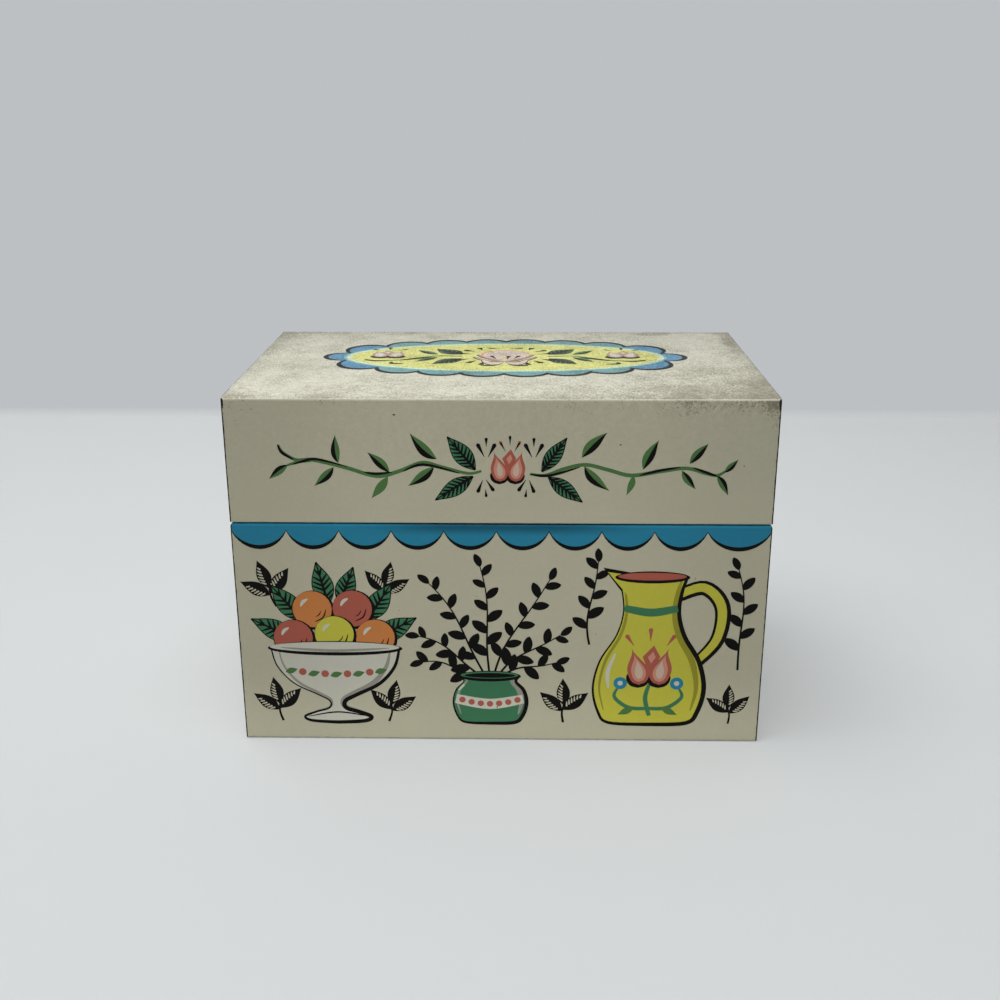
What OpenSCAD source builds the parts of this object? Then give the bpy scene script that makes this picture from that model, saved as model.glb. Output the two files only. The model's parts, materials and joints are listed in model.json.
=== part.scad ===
// Recipe card box of printed tinplate, standing upright and closed.
// Millimetres. +Z is up, the front faces -Y, the hinge runs along X at the back.
// The origin is the middle of the underside.
// Body and lid are each a folded wrap with two flanged ends let in, spot-welded at the laps.

/* [Box] */
// Width across the front, outside
box_w = 135; // [120:0.5:170]
// Depth from front to back, outside
box_d = 83; // [65:0.5:110]
// Height with the lid shut
box_h = 93; // [80:0.5:120]
// Height of the lid's walls
lid_h = 32; // [22:0.5:42]

/* [Sheet metal] */
// Thickness of the tinplate
sheet_t = 0.3; // [0.2:0.05:0.4]
// Inside radius of every fold
fold_r = 0.5; // [0.4:0.05:0.8]
// Width of the ends' welding flanges
flange_w = 6; // [4:0.5:9]
// Gap between two lapped sheets
lap_gap = 0.05; // [0.02:0.01:0.08]

/* [Lid seam] */
// Height of the hem turned in along the lid's lower edge
hem_h = 4; // [3:0.25:6]
// Open space inside the hem
hem_gap = 0.2; // [0.1:0.05:0.3]
// Height of the body's neck above its shoulder
neck_h = 6; // [4:0.5:8]
// Space that the hem keeps from the neck as the lid swings
swing_gap = 0.2; // [0.15:0.05:0.4]
// Gap between the lid's lower edge and the body's shoulder
seam_gap = 0.25; // [0.15:0.05:0.4]

/* [Hinge] */
// Diameter of the hinge wire
wire_d = 1.8; // [1.4:0.1:2.4]
// Radial clearance of the wire in its knuckles
wire_fit = 0.08; // [0.05:0.01:0.1]
// Number of knuckles, the odd ones on the lid
knuckles = 5; // [3:2:9]
// Gap between two knuckles
knuckle_gap = 0.4; // [0.3:0.05:0.8]
// Space between the hinge and the neck beside it
hinge_room = 0.4; // [0.2:0.05:0.8]
// Turn of each knuckle's curl round the wire
curl_turn = 290; // [270:5:300]
// Angle to which the lid opens
open_angle = 105; // [90:1:115]
// Room left at the stop when the lid is fully open
stop_gap = 0.1; // [0.05:0.05:0.3]

/* [Hidden] */

// Segments of a full circle, and how far a cutting shape reaches past what it cuts
$fn = 48;
past = 5;

// Outside radius of a fold
fold_out = fold_r + sheet_t;
// A hem is two sheets and the space between them, with a round edge
hem_r = sheet_t + hem_gap / 2;
hem_deep = 2 * hem_r;

// Hinge: the curls lie inside the back face and touch it from within
curl_in = wire_d / 2 + wire_fit;
curl_out = curl_in + sheet_t;
axis_y = box_d / 2 - curl_out;
lid_edge_z = box_h - lid_h;
shoulder_z = lid_edge_z - seam_gap;
axis_z = lid_edge_z - seam_gap / 2;
// The back walls stop short of the axis, so that one meets the other just past the open angle
notch = curl_out * tan(open_angle / 2) + stop_gap;

// Neck: set in by the hem and by what the hem's edge needs to swing past the neck's top
neck_top = shoulder_z + neck_h;
swing_reach = axis_y + box_d / 2 - hem_deep;
neck_above_axis = neck_top - axis_z;
neck_set = swing_reach - sqrt(pow(swing_reach, 2) - pow(neck_above_axis, 2)) + swing_gap;
step_in = hem_deep + neck_set;
neck_back_y = axis_y - curl_out - hinge_room;

// An end sits inside the wrap: where its flanges lie, and where its flat part starts
end_y = box_d / 2 - sheet_t - lap_gap;
flat_y = end_y - fold_out;
flange_flat = flange_w - fold_out;
floor_z = sheet_t + lap_gap;
roof_z = box_h - sheet_t - lap_gap;
body_flange_top = axis_z - notch;
lid_flange_bottom = lid_edge_z + hem_h + hem_r + lap_gap;

// The knuckles and their wire lie between the necks of the two ends
hinge_half = box_w / 2 - step_in - sheet_t - hinge_room;
knuckle_w = (2 * hinge_half - (knuckles - 1) * knuckle_gap) / knuckles;

cream = [0.86, 0.85, 0.77];
steel = [0.60, 0.61, 0.62];

// Part of a flat ring, from angle a0 round to a1 in degrees
module ring_sector(r_in, r_out, a0, a1) {
    far = 2 * r_out;
    steps = ceil((a1 - a0) / 45);
    intersection() {
        difference() {
            circle(r_out);
            circle(r_in);
        }
        polygon(concat([[0, 0]],
            [for (i = [0:steps]) far * [cos(a0 + (a1 - a0) * i / steps), sin(a0 + (a1 - a0) * i / steps)]]));
    }
}

// Section of a folded sheet. It starts at the origin along +X with its outer face on the line
// and its thickness to the left. Each step is [length] for a flat, or [turn, inner radius] for a
// bend, where a positive turn is to the left.
module fold_section(steps, i = 0) {
    if (i < len(steps)) {
        s = steps[i];
        if (len(s) == 1) {
            square([s[0], sheet_t]);
            translate([s[0], 0]) fold_section(steps, i + 1);
        } else if (s[0] > 0) {
            centre = [0, s[1] + sheet_t];
            translate(centre) {
                ring_sector(s[1], s[1] + sheet_t, -90, s[0] - 90);
                rotate(s[0]) translate(-centre) fold_section(steps, i + 1);
            }
        } else {
            centre = [0, -s[1]];
            translate(centre) {
                ring_sector(s[1], s[1] + sheet_t, 90 + s[0], 90);
                rotate(s[0]) translate(-centre) fold_section(steps, i + 1);
            }
        }
    }
}

// A section drawn in Y and Z, stretched along X between x0 and x1
module along_x(x0, x1) {
    translate([x0, 0, 0]) rotate([90, 0, 90]) linear_extrude(x1 - x0) children();
}

// A section drawn in X and Z, stretched along Y between y0 and y1
module along_y(y0, y1) {
    translate([0, y1, 0]) rotate([90, 0, 0]) linear_extrude(y1 - y0) children();
}

// A section drawn in X and Y, stretched along Z between z0 and z1
module along_z(z0, z1) {
    translate([0, 0, z0]) linear_extrude(z1 - z0) children();
}

// Section from the neck's top edge down and out over the shoulder, to where the wall starts
neck_steps = [[neck_h - fold_r], [-90, fold_r], [step_in - fold_r - fold_out], [90, fold_r]];

// Plan of what belongs to the front, between 45 degree mitres that start this far past its corners
module front_sector(over) {
    half = box_w / 2 + over + past;
    translate([0, -box_d / 2 - past]) polygon([[-half, 0], [half, 0], [0, half]]);
}

// Plan of the left end with its two upright flanges, which lap the wrap from inside
module end_plan() {
    translate([-box_w / 2 + flange_w, end_y]) rotate(180)
        fold_section([[flange_flat], [90, fold_r], [2 * flat_y], [90, fold_r], [flange_flat]]);
}

// Centre in X of knuckle number k, counted from 0 at the left
function knuckle_x(k) = -hinge_half + knuckle_w / 2 + k * (knuckle_w + knuckle_gap);

// Wall from the notch line to the axis with its curl, for the knuckles first, first + 2 and so on.
// side is -1 for the body, whose wall comes from below, and 1 for the lid.
module knuckle_row(first, side) {
    for (k = [first:2:knuckles - 1])
        along_x(knuckle_x(k) - knuckle_w / 2, knuckle_x(k) + knuckle_w / 2)
            translate([axis_y, axis_z]) {
                ring_sector(curl_in, curl_out, side > 0 ? 360 - curl_turn : 0, side > 0 ? 360 : curl_turn);
                translate([curl_in, side > 0 ? 0 : -notch]) square([sheet_t, notch]);
            }
}

// Front, bottom and back of the body in one folded strip
module body_wrap() {
    front_flat = shoulder_z - 2 * fold_out;
    bottom_flat = box_d - 2 * fold_out;
    back_flat = axis_z - notch - fold_out;
    wall_top = shoulder_z - fold_out;
    color(cream) {
        along_x(-box_w / 2, box_w / 2)
            translate([-box_d / 2, wall_top]) rotate(-90)
                fold_section([[front_flat], [90, fold_r], [bottom_flat], [90, fold_r], [back_flat]]);
        intersection() {
            along_x(-box_w / 2, box_w / 2)
                translate([-box_d / 2 + step_in, neck_top]) rotate(-90) fold_section(neck_steps);
            along_z(wall_top - past, neck_top + past) front_sector(0);
        }
        knuckle_row(1, -1);
    }
}

// Left end of the body: a flanged pan with the neck and shoulder along its top
module body_end_left() {
    wall_flat = shoulder_z - fold_out - floor_z - fold_out;
    color(cream) {
        along_y(-flat_y, flat_y)
            translate([-box_w / 2, shoulder_z - fold_out]) rotate(-90)
                fold_section([[wall_flat], [90, fold_r], [flange_flat]]);
        intersection() {
            along_y(-box_d / 2, neck_back_y)
                translate([-box_w / 2 + step_in, neck_top]) rotate(-90) fold_section(neck_steps);
            difference() {
                along_z(shoulder_z - fold_out, neck_top + past)
                    square([2 * box_w, 2 * box_d], center = true);
                along_z(0, neck_top + 2 * past) front_sector(sheet_t + lap_gap);
            }
        }
        along_z(floor_z + fold_out, body_flange_top) end_plan();
    }
}

// Right end of the body
module body_end_right() {
    mirror([1, 0, 0]) body_end_left();
}

// Back, top and front of the lid in one folded strip, with a hem along the front's lower edge
module lid_wrap() {
    back_flat = box_h - axis_z - notch - fold_out;
    top_flat = box_d - 2 * fold_out;
    front_flat = lid_h - fold_out - hem_r;
    color(cream) {
        along_x(-box_w / 2, box_w / 2)
            translate([box_d / 2, axis_z + notch]) rotate(90)
                fold_section([[back_flat], [90, fold_r], [top_flat], [90, fold_r], [front_flat],
                              [180, hem_gap / 2], [hem_h]]);
        knuckle_row(0, 1);
    }
}

// Left end of the lid: a flanged pan with a hem along its lower edge
module lid_end_left() {
    wall_flat = roof_z - fold_out - lid_edge_z - hem_r;
    color(cream) {
        along_y(-flat_y, flat_y)
            translate([-box_w / 2 + flange_w, roof_z]) rotate(180)
                fold_section([[flange_flat], [90, fold_r], [wall_flat], [180, hem_gap / 2], [hem_h]]);
        along_z(lid_flange_bottom, roof_z - fold_out) end_plan();
    }
}

// Right end of the lid
module lid_end_right() {
    mirror([1, 0, 0]) lid_end_left();
}

// Wire that runs through all the knuckles
module hinge_wire() {
    color(steel) translate([-hinge_half, axis_y, axis_z]) rotate([0, 90, 0])
        cylinder(h = 2 * hinge_half, d = wire_d);
}

body_wrap();
body_end_left();
body_end_right();
lid_wrap();
lid_end_left();
lid_end_right();
hinge_wire();
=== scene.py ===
"""Looks of a recipe card box: lithographed tinplate, printed faces, worn folds and a plain studio."""

import json
import logging
import math
from dataclasses import dataclass, field, fields, replace
from enum import Enum
from typing import Any, Callable, Iterable, Sequence

import bpy
import numpy as np
from mathutils import Matrix, Vector
from mathutils.geometry import delaunay_2d_cdt


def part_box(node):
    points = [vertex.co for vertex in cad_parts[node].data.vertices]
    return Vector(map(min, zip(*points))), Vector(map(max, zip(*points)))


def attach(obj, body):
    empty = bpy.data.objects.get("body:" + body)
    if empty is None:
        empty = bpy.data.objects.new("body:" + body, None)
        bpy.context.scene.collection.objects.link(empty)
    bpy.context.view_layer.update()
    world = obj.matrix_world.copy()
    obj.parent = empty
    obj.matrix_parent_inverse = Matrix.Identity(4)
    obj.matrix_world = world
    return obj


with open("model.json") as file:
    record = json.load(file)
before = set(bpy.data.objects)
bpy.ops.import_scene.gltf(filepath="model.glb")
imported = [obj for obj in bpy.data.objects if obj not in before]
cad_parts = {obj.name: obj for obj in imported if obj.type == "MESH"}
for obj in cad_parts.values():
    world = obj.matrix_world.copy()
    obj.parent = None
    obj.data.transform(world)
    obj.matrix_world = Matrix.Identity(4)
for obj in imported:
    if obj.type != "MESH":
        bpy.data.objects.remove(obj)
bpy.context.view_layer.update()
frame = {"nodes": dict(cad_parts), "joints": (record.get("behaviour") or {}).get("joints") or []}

LOG = logging.getLogger("card_box")
# One millimetre in Blender's metres
MM = 0.001
Point = tuple[float, float]
MATH = "ShaderNodeMath"
VECTOR = "ShaderNodeVectorMath"


def linear(hex_colour: str) -> tuple[float, float, float, float]:
    """Turns an sRGB hex colour into the linear colour that a shader takes.

    Args:
        hex_colour: The colour as six hex digits, with or without a leading hash.

    Returns:
        Linear red, green, blue and an alpha of 1.
    """
    digits = hex_colour.lstrip("#")
    parts = [int(digits[i:i + 2], 16) / 255 for i in (0, 2, 4)]
    curve = [p / 12.92 if p <= 0.04045 else ((p + 0.055) / 1.055) ** 2.4 for p in parts]
    return (curve[0], curve[1], curve[2], 1.0)


def add(tree: bpy.types.NodeTree, kind: str, inputs: dict[Any, Any] | None = None,
        **settings: Any) -> bpy.types.Node:
    """Adds a node to a tree, with its settings and its links.

    Args:
        tree: The node tree that gets the node.
        kind: Blender's name of the node type.
        inputs: Input name or number to a value, a socket, or a node whose first output is meant.
        **settings: Properties of the node, set before its inputs.

    Returns:
        The new node.
    """
    node = tree.nodes.new(kind)
    for name, value in settings.items():
        setattr(node, name, value)
    for key, value in (inputs or {}).items():
        if isinstance(value, bpy.types.Node):
            value = value.outputs[0]
        if isinstance(value, bpy.types.NodeSocket):
            tree.links.new(value, node.inputs[key])
        else:
            node.inputs[key].default_value = value
    return node


@dataclass(frozen=True)
class BoxSizes:
    """Outer sizes of the box in millimetres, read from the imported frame."""

    half_w: float
    half_d: float
    height: float
    seam_z: float
    wall_top: float
    hem_top: float
    hinge_y: float
    hinge_z: float

    @classmethod
    def from_frame(cls) -> "BoxSizes":
        """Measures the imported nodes.

        Returns:
            The sizes that every finish and print is placed by.
        """
        low, high = (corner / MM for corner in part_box("lid_wrap"))
        end_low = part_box("lid_end_left")[0] / MM
        joint = next(j for j in frame["joints"] if j["name"] == "lid_hinge")
        hinge = Vector(joint["pos_m"]) / MM
        fold, hem, seam_gap = 0.8, 4.4, 0.25
        return cls(half_w=high.x, half_d=-low.y, height=high.z, seam_z=end_low.z,
                   wall_top=end_low.z - seam_gap - fold, hem_top=end_low.z + hem,
                   hinge_y=hinge.y, hinge_z=hinge.z)


SIZES = BoxSizes.from_frame()
# From the wraps' outer face to where the flat part of an end starts, in millimetres
END_FOLD = 1.2


class Ink(Enum):
    """Litho inks on the tinplate, as sRGB colours of the clean print."""

    CREAM = "#cfcab0"
    BLUE = "#2e8dae"
    BLACK = "#0b0807"
    GREEN = "#45815c"
    LEAF = "#567f49"
    YELLOW = "#d4ce4c"
    OLIVE = "#a39c35"
    CORAL = "#bb6453"
    PINK = "#dc9a84"
    ORANGE = "#d98a4c"
    GREY = "#a3a092"
    SILVER = "#bcb9aa"
    WHITE = "#dad8c8"
    MINT = "#cfe0c4"
    BLUSH = "#dfc3ae"
    STRAW = "#dbd87c"
    SHELL = "#d9c8b0"
    CLAY = "#b79a80"
    SKY = "#5f90a8"
    MIST = "#749e98"
    TEAL = "#86b5a4"


class Side(Enum):
    """Which stretch of the tin a sheet's material is for."""

    BODY_WRAP = "body wrap"
    BODY_END = "body end"
    LID_WRAP = "lid wrap"
    LID_END = "lid end"


# Soiled places on the lid's top: middle, half sizes in millimetres and how dirty
SMUDGES = ((-6.0, 37.0, 9.0, 6.0, 0.8), (44.0, 38.0, 12.0, 6.0, 1.0), (66.0, 27.0, 6.0, 16.0, 0.9),
           (-64.0, 33.0, 12.0, 9.0, 0.5), (-22.0, -23.0, 14.0, 7.0, 0.5), (9.0, -22.0, 15.0, 6.0, 0.45),
           (-50.0, -20.0, 14.0, 9.0, 0.35), (-38.0, -35.0, 16.0, 4.0, 0.5), (22.0, -33.0, 20.0, 4.0, 0.4))


@dataclass
class WornTin:
    """Years of kitchen wear on enamelled tinplate, with painted shade, a painted shadow and painted highlights, shared
    by the coat and all the inks.

    It reads Object coordinates, and every piece lies in the box's own frame, so a smudge or a
    scratch runs on from the coat over the ink.
    """

    grime: str = "#7d7466"
    # Colour of the pits, and of the painted shadow under the lid's edge
    speck: str = "#3a332c"
    steel: str = "#2b2621"
    # Colour of the painted highlight on the top's front fold
    crest: str = "#efeee2"
    tint_mm: float = 45.0
    mottle_mm: float = 0.9
    fleck_mm: float = 1.4
    smudge_mm: float = 10.0
    grit_mm: float = 0.55
    speck_cell_mm: float = 5.0
    edge_mm: float = 0.3
    tree: bpy.types.NodeTree = field(init=False)

    def __post_init__(self) -> None:
        """Builds the node group."""
        self.tree = bpy.data.node_groups.new("worn tin", "ShaderNodeTree")
        face = self.tree.interface
        face.new_socket("Ink", in_out="INPUT", socket_type="NodeSocketColor")
        for name, kind in (("Color", "NodeSocketColor"), ("Roughness", "NodeSocketFloat"),
                           ("Metallic", "NodeSocketFloat"), ("Normal", "NodeSocketVector")):
            face.new_socket(name, in_out="OUTPUT", socket_type=kind)
        self._build()

    def _edge_distance(self, xyz: bpy.types.Node) -> tuple[bpy.types.Node, ...]:
        """Works out how far a point is from the box's edges and corners.

        Args:
            xyz: Separate XYZ node that gives the point in millimetres.

        Returns:
            Nodes with the distance in millimetres to any edge, to an upright edge and to a corner.
        """
        t = self.tree
        from_side = []
        for axis, half in ((0, SIZES.half_w), (1, SIZES.half_d)):
            size = add(t, MATH, {0: xyz.outputs[axis]}, operation="ABSOLUTE")
            from_side.append(add(t, MATH, {0: half, 1: size}, operation="SUBTRACT"))
        down = add(t, MATH, {0: SIZES.height, 1: xyz.outputs[2]}, operation="SUBTRACT")
        level = add(t, MATH, {0: down, 1: xyz.outputs[2]}, operation="MINIMUM")
        small = add(t, MATH, {0: from_side[0], 1: from_side[1]}, operation="MINIMUM")
        large = add(t, MATH, {0: from_side[0], 1: from_side[1]}, operation="MAXIMUM")
        middle = add(t, MATH, {0: large, 1: level}, operation="MINIMUM")
        edge = add(t, MATH, {0: small, 1: middle}, operation="MAXIMUM")
        corner = add(t, MATH, {0: large, 1: level}, operation="MAXIMUM")
        return edge, large, corner

    def _noise(self, where: Any, size_mm: float, **inputs: float) -> bpy.types.Node:
        """Adds a noise texture whose features have a real size.

        Args:
            where: Socket or node with the point in millimetres.
            size_mm: Size of one feature.
            **inputs: Further inputs of the texture, by their names.

        Returns:
            The texture node.
        """
        wanted = {"Vector": where, "Scale": 1 / size_mm}
        wanted.update({name.capitalize(): value for name, value in inputs.items()})
        return add(self.tree, "ShaderNodeTexNoise", wanted)

    def _step(self, value: Any, low: float, high: float) -> bpy.types.Node:
        """Adds a smooth step that goes from 0 at low to 1 at high."""
        return add(self.tree, "ShaderNodeMapRange", {0: value, 1: low, 2: high},
                   interpolation_type="SMOOTHSTEP", clamp=True)

    def _smudges(self, mm: bpy.types.Node, upward: bpy.types.Node) -> bpy.types.Node:
        """Marks the soiled places on the lid's top.

        Args:
            mm: Node with the point in millimetres.
            upward: Node that is 1 on the top.

        Returns:
            Node that goes from a half outside the places to 1 in their middles.
        """
        t = self.tree
        # The whole top is soiled half as much as its worst places
        marked: Any = 0.5
        for x, y, half_x, half_y, amount in SMUDGES:
            off = add(t, VECTOR, {0: mm, 1: (x, y, SIZES.height)}, operation="SUBTRACT")
            off = add(t, VECTOR, {0: off, 1: (1 / half_x, 1 / half_y, 0.0)}, operation="MULTIPLY")
            far = add(t, VECTOR, {0: off}, operation="LENGTH")
            inside = self._step(far.outputs["Value"], 1.0, 0.2)
            inside = add(t, MATH, {0: inside, 1: amount}, operation="MULTIPLY")
            marked = add(t, MATH, {0: marked, 1: inside}, operation="MAXIMUM")
        return add(t, MATH, {0: marked, 1: upward}, operation="MULTIPLY")

    def _build(self) -> None:
        """Lays out the group: tone with painted shade, haze with a painted reflection, dirt, a painted shadow, specks,
        then the painted highlight on the crests and the rubbed folds.
        """
        t = self.tree
        ink = t.nodes.new("NodeGroupInput")
        coords = add(t, "ShaderNodeTexCoord")
        mm = add(t, VECTOR, {0: coords.outputs["Object"], "Scale": 1 / MM}, operation="SCALE")
        xyz = add(t, "ShaderNodeSeparateXYZ", {0: mm})
        facing = add(t, "ShaderNodeSeparateXYZ", {0: coords.outputs["Normal"]})
        upward = self._step(facing.outputs[2], 0.5, 0.9)
        edge, upright, corner = self._edge_distance(xyz)

        # Where on the box a point is, each from 0 to 1
        aside = add(t, MATH, {0: xyz.outputs[0]}, operation="ABSOLUTE")
        by_side = self._step(aside, 22.0, SIZES.half_w)
        to_right = self._step(xyz.outputs[0], 10.0, SIZES.half_w)
        to_front = self._step(xyz.outputs[1], 15.0, -SIZES.half_d)
        to_back = self._step(xyz.outputs[1], 5.0, SIZES.half_d)
        near_front = self._step(xyz.outputs[1], -10.0, -SIZES.half_d)
        near_front = add(t, MATH, {0: near_front, 1: upward}, operation="MULTIPLY")
        on_lid = self._step(xyz.outputs[2], SIZES.seam_z, SIZES.height - 6.0)
        low_down = self._step(xyz.outputs[2], 24.0, 0.0)
        on_wall = add(t, MATH, {0: 1.0, 1: upward}, operation="SUBTRACT")
        worn_corner = add(t, MATH, {0: to_right, 1: to_front}, operation="MULTIPLY")
        near_top = self._step(xyz.outputs[2], SIZES.height - 6.5, SIZES.height - 1.0)
        worn_corner = add(t, MATH, {0: worn_corner, 1: near_top}, operation="MULTIPLY")

        # Tone: the coat varies at random, is darker towards the sides of the walls and the top's back and right,
        # lighter towards the top's front, and its top is finely flecked
        tint = self._noise(mm, self.tint_mm, detail=2.0)
        mottle = self._noise(mm, self.mottle_mm, detail=3.0, roughness=0.7)
        shade = add(t, MATH, {0: tint.outputs[0], 1: 0.10, 2: 0.905}, operation="MULTIPLY_ADD")
        shade = add(t, MATH, {0: mottle.outputs[0], 1: 0.10, 2: shade}, operation="MULTIPLY_ADD")
        # Painted shade on the lid's walls, and painted floor bounce lighting the low part of the walls
        for place, where, weight in ((on_wall, by_side, -0.12), (on_wall, on_lid, -0.045),
                                     (on_wall, low_down, 0.24), (upward, to_back, -0.13),
                                     (upward, to_right, -0.04), (upward, to_front, 0.10)):
            both = add(t, MATH, {0: place, 1: where}, operation="MULTIPLY")
            shade = add(t, MATH, {0: both, 1: weight, 2: shade}, operation="MULTIPLY_ADD")
        fleck = self._noise(mm, self.fleck_mm, detail=3.0, roughness=0.75)
        fleck = add(t, MATH, {0: fleck.outputs[0], 1: 0.5}, operation="SUBTRACT")
        amount = add(t, MATH, {0: on_lid, 1: 0.18, 2: 0.04}, operation="MULTIPLY_ADD")
        for mask, weight in ((upward, 0.55), (near_front, 0.55), (worn_corner, 0.6)):
            amount = add(t, MATH, {0: mask, 1: weight, 2: amount}, operation="MULTIPLY_ADD")
        shade = add(t, MATH, {0: fleck, 1: amount, 2: shade}, operation="MULTIPLY_ADD")
        colour = add(t, VECTOR, {0: ink.outputs[0], "Scale": shade}, operation="SCALE")

        # Haze: the top is greyed, partly by dust and partly by a painted reflection of the cool light on its gloss
        colour = add(t, "ShaderNodeMix", {0: upward, 6: colour, 7: (0.98, 1.01, 1.11, 1.0)},
                     data_type="RGBA", blend_type="MULTIPLY")

        # Dirt: fine grit that gathers in clouds on the top, under the lid's folds and at the corners
        cloud = self._noise(mm, self.smudge_mm, detail=6.0, roughness=0.65)
        grit = self._noise(mm, self.grit_mm, detail=2.0, roughness=0.7)
        by_fold = add(t, MATH, {0: self._step(edge, 7.0, 0.0), 1: on_lid}, operation="MULTIPLY")
        smudged = self._smudges(mm, upward)
        dirt = add(t, MATH, {0: cloud.outputs[0], 1: 1.3, 2: -0.95}, operation="MULTIPLY_ADD")
        for mask, weight in ((on_lid, 0.16), (upward, 0.27), (by_fold, 0.24), (worn_corner, 0.42),
                             (smudged, 0.55), (self._step(corner, 9.0, 1.0), 0.25)):
            dirt = add(t, MATH, {0: mask, 1: weight, 2: dirt}, operation="MULTIPLY_ADD")
        start = add(t, MATH, {0: dirt, 1: -0.34, 2: 0.66}, operation="MULTIPLY_ADD")
        full = add(t, MATH, {0: start, 1: 0.09}, operation="ADD")
        grains = self._step(grit.outputs[0], start, full)
        film = self._step(dirt, 0.15, 1.2)
        soil = add(t, MATH, {0: film, 1: 0.20}, operation="MULTIPLY")
        soil = add(t, MATH, {0: grains, 1: 0.45, 2: soil}, operation="MULTIPLY_ADD", use_clamp=True)
        colour = add(t, "ShaderNodeMix", {0: soil, 6: colour.outputs[2], 7: linear(self.grime)},
                     data_type="RGBA", blend_type="MULTIPLY")

        # Painted shadow: the body is darkened under the lid's edge, most of all in the middle, as the lid's edge would
        # shade it
        under = self._step(xyz.outputs[2], SIZES.wall_top - 2.6, SIZES.wall_top + 0.2)
        beneath = add(t, MATH, {0: xyz.outputs[2], 1: SIZES.seam_z}, operation="LESS_THAN")
        under = add(t, MATH, {0: under, 1: beneath}, operation="MULTIPLY")
        under = add(t, MATH, {0: under, 1: self._step(aside, 40.0, 12.0)}, operation="MULTIPLY")
        under = add(t, MATH, {0: under, 1: 0.55}, operation="MULTIPLY")
        colour = add(t, "ShaderNodeMix", {0: under, 6: colour.outputs[2], 7: linear(self.speck)},
                     data_type="RGBA", blend_type="MULTIPLY")

        # Specks: small ragged pits in the coat, one in some of the cells
        ragged = self._noise(mm, 0.8, detail=2.0)
        spot = add(t, VECTOR, {0: ragged.outputs[1], 1: (0.9, 0.9, 0.9), 2: mm}, operation="MULTIPLY_ADD")
        cells = add(t, "ShaderNodeTexVoronoi", {"Vector": spot, "Scale": 1 / self.speck_cell_mm})
        lots = add(t, "ShaderNodeSeparateXYZ", {0: cells.outputs["Color"]})
        radius = add(t, MATH, {0: lots.outputs[0], 1: 0.10, 2: -0.035}, operation="MULTIPLY_ADD")
        pit = add(t, MATH, {0: radius, 1: cells.outputs["Distance"]}, operation="SUBTRACT")
        pit = self._step(pit, 0.0, 0.03)
        colour = add(t, "ShaderNodeMix", {0: pit, 6: colour.outputs[2], 7: linear(self.speck)}, data_type="RGBA")

        # Crests: a painted highlight along the top's front fold, stronger to the right, where the fold is also bare of
        # dirt
        by_top = self._step(xyz.outputs[2], SIZES.height - 2.4, SIZES.height - 0.9)
        crest = add(t, MATH, {0: self._step(edge, 0.5, 0.25), 1: by_top}, operation="MULTIPLY")
        glint = add(t, MATH, {0: to_right, 1: 0.35, 2: 0.25}, operation="MULTIPLY_ADD")
        for mask in (crest, self._step(xyz.outputs[1], 1.2 - SIZES.half_d, 0.6 - SIZES.half_d)):
            glint = add(t, MATH, {0: glint, 1: mask}, operation="MULTIPLY")
        colour = add(t, "ShaderNodeMix", {0: glint, 6: colour.outputs[2], 7: linear(self.crest)},
                     data_type="RGBA")

        # Folds: the coat has rubbed through along the upright ones, and at the lid's upper corners
        chips = self._noise(mm, 2.4, detail=5.0, roughness=0.7)
        reach = add(t, MATH, {0: by_top, 1: -0.75, 2: 0.1}, operation="MULTIPLY_ADD")
        reach = add(t, MATH, {0: chips.outputs[0], 1: 1.7, 2: reach}, operation="MULTIPLY_ADD")
        reach = add(t, MATH, {0: reach, 1: self.edge_mm}, operation="MULTIPLY")
        rubbed = add(t, MATH, {0: reach, 1: edge}, operation="SUBTRACT")
        spot_z = add(t, MATH, {0: xyz.outputs[2], 1: 1.3 - SIZES.height}, operation="ADD")
        spot_z = add(t, MATH, {0: spot_z, 1: 0.38}, operation="MULTIPLY")
        spot = add(t, "ShaderNodeCombineXYZ", {0: upright, 1: spot_z, 2: 0.0})
        spot = add(t, VECTOR, {0: spot}, operation="LENGTH")
        spot = add(t, MATH, {0: chips.outputs[0], 1: 0.9, 2: spot.outputs["Value"]}, operation="MULTIPLY_ADD")
        spot = add(t, MATH, {0: 1.05, 1: spot}, operation="SUBTRACT")
        rubbed = add(t, MATH, {0: rubbed, 1: spot}, operation="MAXIMUM")
        rubbed = self._step(rubbed, -0.08, 0.04)
        colour = add(t, "ShaderNodeMix", {0: rubbed, 6: colour.outputs[2], 7: linear(self.steel)},
                     data_type="RGBA")

        # Hands have polished the folds, and grit has dulled the rest
        polish = self._step(edge, 1.6, 0.3)
        rough = add(t, MATH, {0: soil, 1: 0.45, 2: 0.32}, operation="MULTIPLY_ADD")
        rough = add(t, MATH, {0: polish, 1: -0.14, 2: rough}, operation="MULTIPLY_ADD")
        metal = add(t, MATH, {0: rubbed, 1: 0.4}, operation="MULTIPLY")
        # The coat has a faint orange peel, and a rubbed or pitted place lies lower
        peel = self._noise(mm, 0.7, detail=1.0)
        sunk = add(t, MATH, {0: rubbed, 1: pit}, operation="MAXIMUM")
        level = add(t, MATH, {0: sunk, 1: -1.0, 2: peel.outputs[0]}, operation="MULTIPLY_ADD")
        level = add(t, MATH, {0: grains, 1: 0.5, 2: level}, operation="MULTIPLY_ADD")
        bump = add(t, "ShaderNodeBump", {"Height": level, "Strength": 0.12, "Distance": 0.02 * MM})
        out = t.nodes.new("NodeGroupOutput")
        for i, value in enumerate((colour.outputs[2], rough.outputs[0], metal.outputs[0], bump.outputs[0])):
            t.links.new(value, out.inputs[i])


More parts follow.
